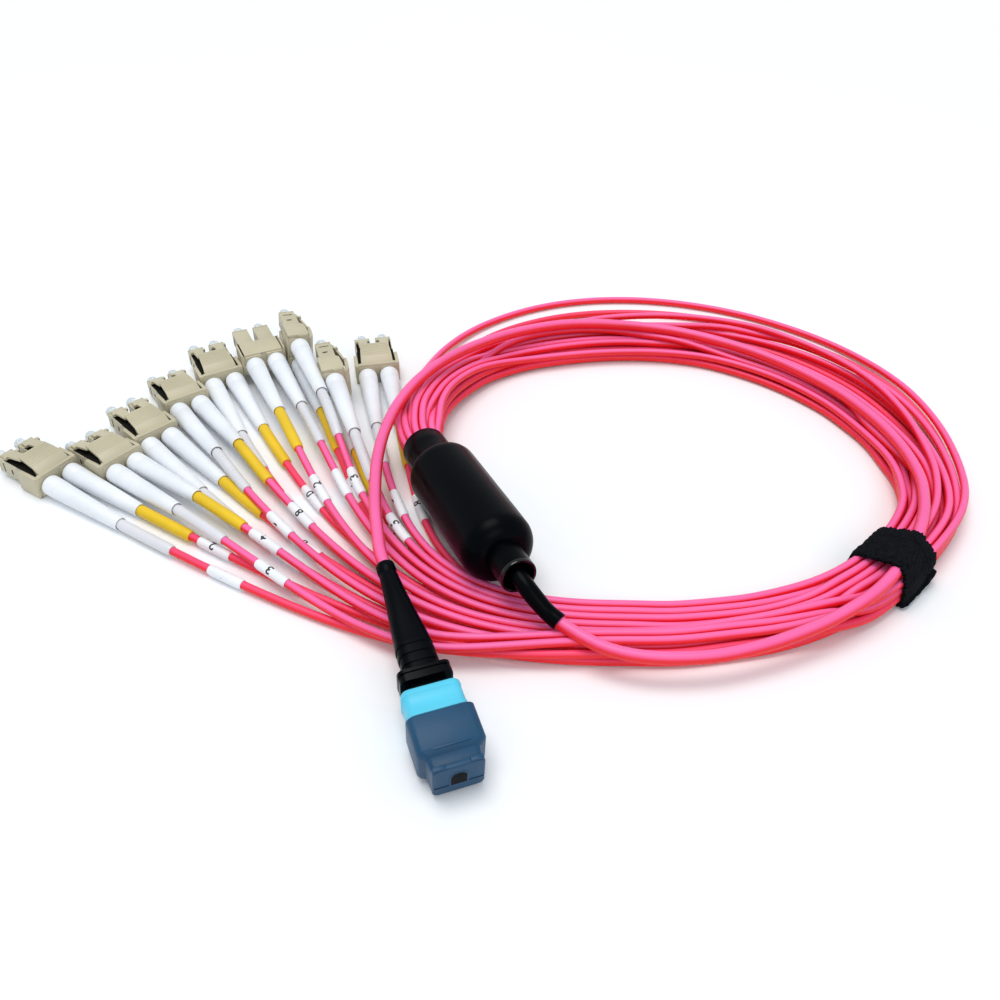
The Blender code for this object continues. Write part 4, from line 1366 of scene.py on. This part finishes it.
class CABLE_OT_duplex_plugs(bpy.types.Operator):
    """The nine duplex plugs with their clips, latches, dust caps and boots"""
    bl_idname = "cable.duplex_plugs"
    bl_label = "Duplex plugs"

    def execute(self, context):
        beige = moulded("beige_plug", (0.545, 0.49, 0.345), 0.42, 900.0, 0.00002, 0.06, gloss=0.35)
        # dark material for painted shade: thin sheets where the plug has gaps, slots and overhangs
        dark = moulded("plug_painted_shade", (0.006, 0.005, 0.004), 0.7, 600.0, 0.00002, 0.1, gloss=0.1)
        caps = cap_material()
        mesh = mesh_from("duplex_plug", self.plug, [beige, dark, caps], 35.0, 0.09 * MM, 2)
        boot_mesh = self.boot_mesh()
        for k, row in enumerate(DUPLEX_PLUGS, start=1):
            place = duplex_place(row)
            place_piece(f"duplex_plug_{k}", mesh, place, "cable", "duplex_plug", f"lc_duplex_{k}")
            for letter, side in (("a", 1), ("b", -1)):
                shift = Matrix.Translation((0.0, side * DUPLEX_PITCH / 2, 0.0))
                place_piece(f"boot_{k}{letter}", boot_mesh, place @ shift, "cable", "tail_boot",
                            f"lc_boot_{k}{letter}")
        return {"FINISHED"}

    def boot_mesh(self):
        """A slim tapered boot with a collar, one flex groove and an open end."""
        profile = [
            (-0.3, 0.4), (-0.3, 2.35), (-0.45, 2.55), (-0.8, 2.68), (-1.3, 2.7), (-4.0, 2.66),
            (-4.1, 2.6), (-4.4, 2.6), (-4.5, 2.64), (-9.0, 2.42), (-15.0, 2.2),
            (-21.0, 1.95), (-25.6, 1.78), (-26.2, 1.76), (-26.3, 1.7), (-26.3, 1.56),
            (-25.0, 1.54), (-25.0, 0.1),
        ]
        rings = turned_rings([(x * MM, radius * MM) for x, radius in profile], 40)
        return mesh_from("tail_boot", lambda shape: skin(shape, rings), [boot_material()], 35.0)

    def plug(self, shape):
        for side in (-1, 1):
            middle = side * DUPLEX_PITCH / MM / 2
            low = middle - 2.3
            high = middle + 2.3
            self.nose(shape, low, high)
            # latch arm, broad at its root on the nose and narrow under the trigger
            arm = (
                (16.1, 1.9), (16.0, 2.7), (15.3, 2.95), (12.2, 3.95), (8.2, 4.75), (8.1, 4.15),
                (12.0, 3.35), (14.4, 2.5), (14.8, 1.9),
            )
            taper = (0.5, 0.5, 0.5, 0.85, 1.0, 1.0, 0.85, 0.5, 0.5)
            prism(shape, arm, low + 0.1, high - 0.1, 0, taper)
            # shoulders of the latch that catch in an adapter
            for sign in (-1, 1):
                a, b = sorted((middle + sign * 1.3, middle + sign * 2.15))
                box(shape, (12.9, a, 2.9), (13.8, b, 3.75))
            # painted shade under the latch, in a short slot on the outer side, and at the front rim: thin
            # dark sheets
            box(shape, (8.62, middle - 2.05, 2.2), (14.3, middle + 2.05, 2.31), 1)
            a, b = sorted((middle + side * 2.1, middle + side * 2.33))
            box(shape, (11.3, a, -0.9), (11.75, b, 0.5), 1)
            box(shape, (14.6, a, -1.4), (14.85, b, 1.4), 1)
            cap = []
            rows = (
                (15.9, 1.25), (16.9, 1.25), (17.0, 1.55), (17.3, 1.6),
                (19.6, 1.6), (20.1, 1.45), (20.2, 1.1),
            )
            for x, radius in rows:
                cap.append([
                    Vector((x, middle + radius * math.cos(t), radius * math.sin(t))) * MM
                    for t in [2.0 * math.pi * i / 20 for i in range(20)]
                ])
            skin(shape, cap, slot=2)
        self.clip(shape)
        self.trigger(shape)

    def nose(self, shape, low, high):
        """One plug's body: a wider back, a slim front and a chamfered rim."""
        rows = (
            (0.0, 0.0, 2.6), (0.25, 0.0, 2.7), (8.4, 0.0, 2.7), (8.6, 0.05, 2.3), (16.3, 0.05, 2.25),
            (16.35, 0.2, 2.1), (16.6, 0.2, 2.1), (16.65, 0.05, 2.25), (16.85, 0.05, 2.25), (17.0, 0.2, 2.1),
        )
        rings = []
        for x, inset, tall in rows:
            left = low + inset
            right = high - inset
            corners = ((left, -tall), (right, -tall), (right, tall), (left, tall))
            rings.append([Vector((x, y, z)) * MM for y, z in corners])
        skin(shape, rings)

    def clip(self, shape):
        """Two cheeks and a floor that hold the pair together, with a raised back wall."""
        for y in (-6.4, 5.45):
            cheek = ((0.5, -3.1), (7.8, -3.1), (7.8, 1.6), (6.6, 2.9), (2.4, 3.2), (0.5, 3.1))
            prism(shape, cheek, y, y + 0.95)
        prism(shape, ((0.5, -3.1), (7.8, -3.1), (7.8, -2.6), (0.5, -2.6)), -6.0, 6.0)
        box(shape, (0.5, -0.85, -3.0), (7.8, 0.85, 2.9))
        # painted shade under the trigger: a dark sheet on top of the clip
        box(shape, (1.3, -5.4, 2.0), (8.7, 5.4, 2.82), 1)
        wall = []
        for i in range(33):
            y = -6.3 + 12.6 * i / 32
            edge = min(abs(y + DUPLEX_PITCH / MM / 2), abs(y - DUPLEX_PITCH / MM / 2))
            rise = 1.0 - smoothstep((abs(y) - 4.9) / 1.4)
            low = math.sqrt(max(0.0, 2.3 ** 2 - edge ** 2)) if edge < 2.3 else 0.0
            wall.append((y, low, 2.7 + 0.75 * rise))
        front = []
        back = []
        for x, ring in ((0.15, back), (1.25, front)):
            for y, low, high in wall:
                ring.append(Vector((x, y, high)) * MM)
            for y, low, high in reversed(wall):
                ring.append(Vector((x, y, low)) * MM)
        skin(shape, [back, front])

    def trigger(self, shape):
        """The ribbed trigger that stands over both latches, open at its sides."""
        outline = (
            (0.5, 2.5), (2.0, 2.5), (3.2, 3.9), (8.9, 4.55), (9.15, 4.85), (9.0, 5.3), (5.6, 5.15),
            (2.9, 4.8), (1.5, 4.0), (0.4, 3.3),
        )
        taper = (0.0, 0.0, 0.2, 0.6, 0.75, 0.6, 0.25, 0.1, 0.0, 0.0)
        prism(shape, outline, -4.6, 4.6, 0, taper)
        for rib in range(7):
            x = 3.4 + 0.78 * rib
            z = 4.8 + (x - 2.9) * 0.35 / 2.7 if x < 5.6 else 5.15 + (x - 5.6) * 0.15 / 3.4
            half = 4.2 - 0.05 * rib
            box(shape, (x, -half, z - 0.3), (x + 0.3, half, z + 0.09))


# An empty step and the sidebar panel

class CABLE_OT_declare(bpy.types.Operator):
    """An empty step that changes nothing"""
    bl_idname = "cable.declare"
    bl_label = "Declare cords"

    def execute(self, context):
        return {"FINISHED"}


class CABLE_PT_panel(bpy.types.Panel):
    """Sidebar panel that builds the cable"""
    bl_label = "Fibre breakout cable"
    bl_idname = "CABLE_PT_panel"
    bl_space_type = "VIEW_3D"
    bl_region_type = "UI"
    bl_category = "Cable"

    def draw(self, context):
        layout = self.layout
        chosen = context.scene.breakout_cable
        for name in ("tail_diameter", "trunk_diameter", "sleeve_length", "label_start", "label_length",
                     "floor_size", "camera_tilt", "camera_height"):
            layout.prop(chosen, name)
        for step in STEPS:
            layout.operator(step.bl_idname)


STEPS = (
    CABLE_OT_stage,
    CABLE_OT_cords,
    CABLE_OT_markers,
    CABLE_OT_housing,
    CABLE_OT_strap,
    CABLE_OT_multi_fibre_plug,
    CABLE_OT_duplex_plugs,
    CABLE_OT_declare,
)
CLASSES = (BreakoutCableSettings, *STEPS, CABLE_PT_panel)


def register():
    for entry in CLASSES:
        bpy.utils.register_class(entry)
    bpy.types.Scene.breakout_cable = bpy.props.PointerProperty(type=BreakoutCableSettings)


def unregister():
    del bpy.types.Scene.breakout_cable
    for entry in reversed(CLASSES):
        bpy.utils.unregister_class(entry)


def main():
    """Builds the cable."""
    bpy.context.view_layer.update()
    register()
    bpy.ops.cable.stage()
    bpy.ops.cable.cords()
    bpy.ops.cable.markers()
    bpy.ops.cable.housing()
    bpy.ops.cable.strap()
    bpy.ops.cable.multi_fibre_plug()
    bpy.ops.cable.duplex_plugs()
    bpy.ops.cable.declare()


if __name__ == "__main__":
    main()
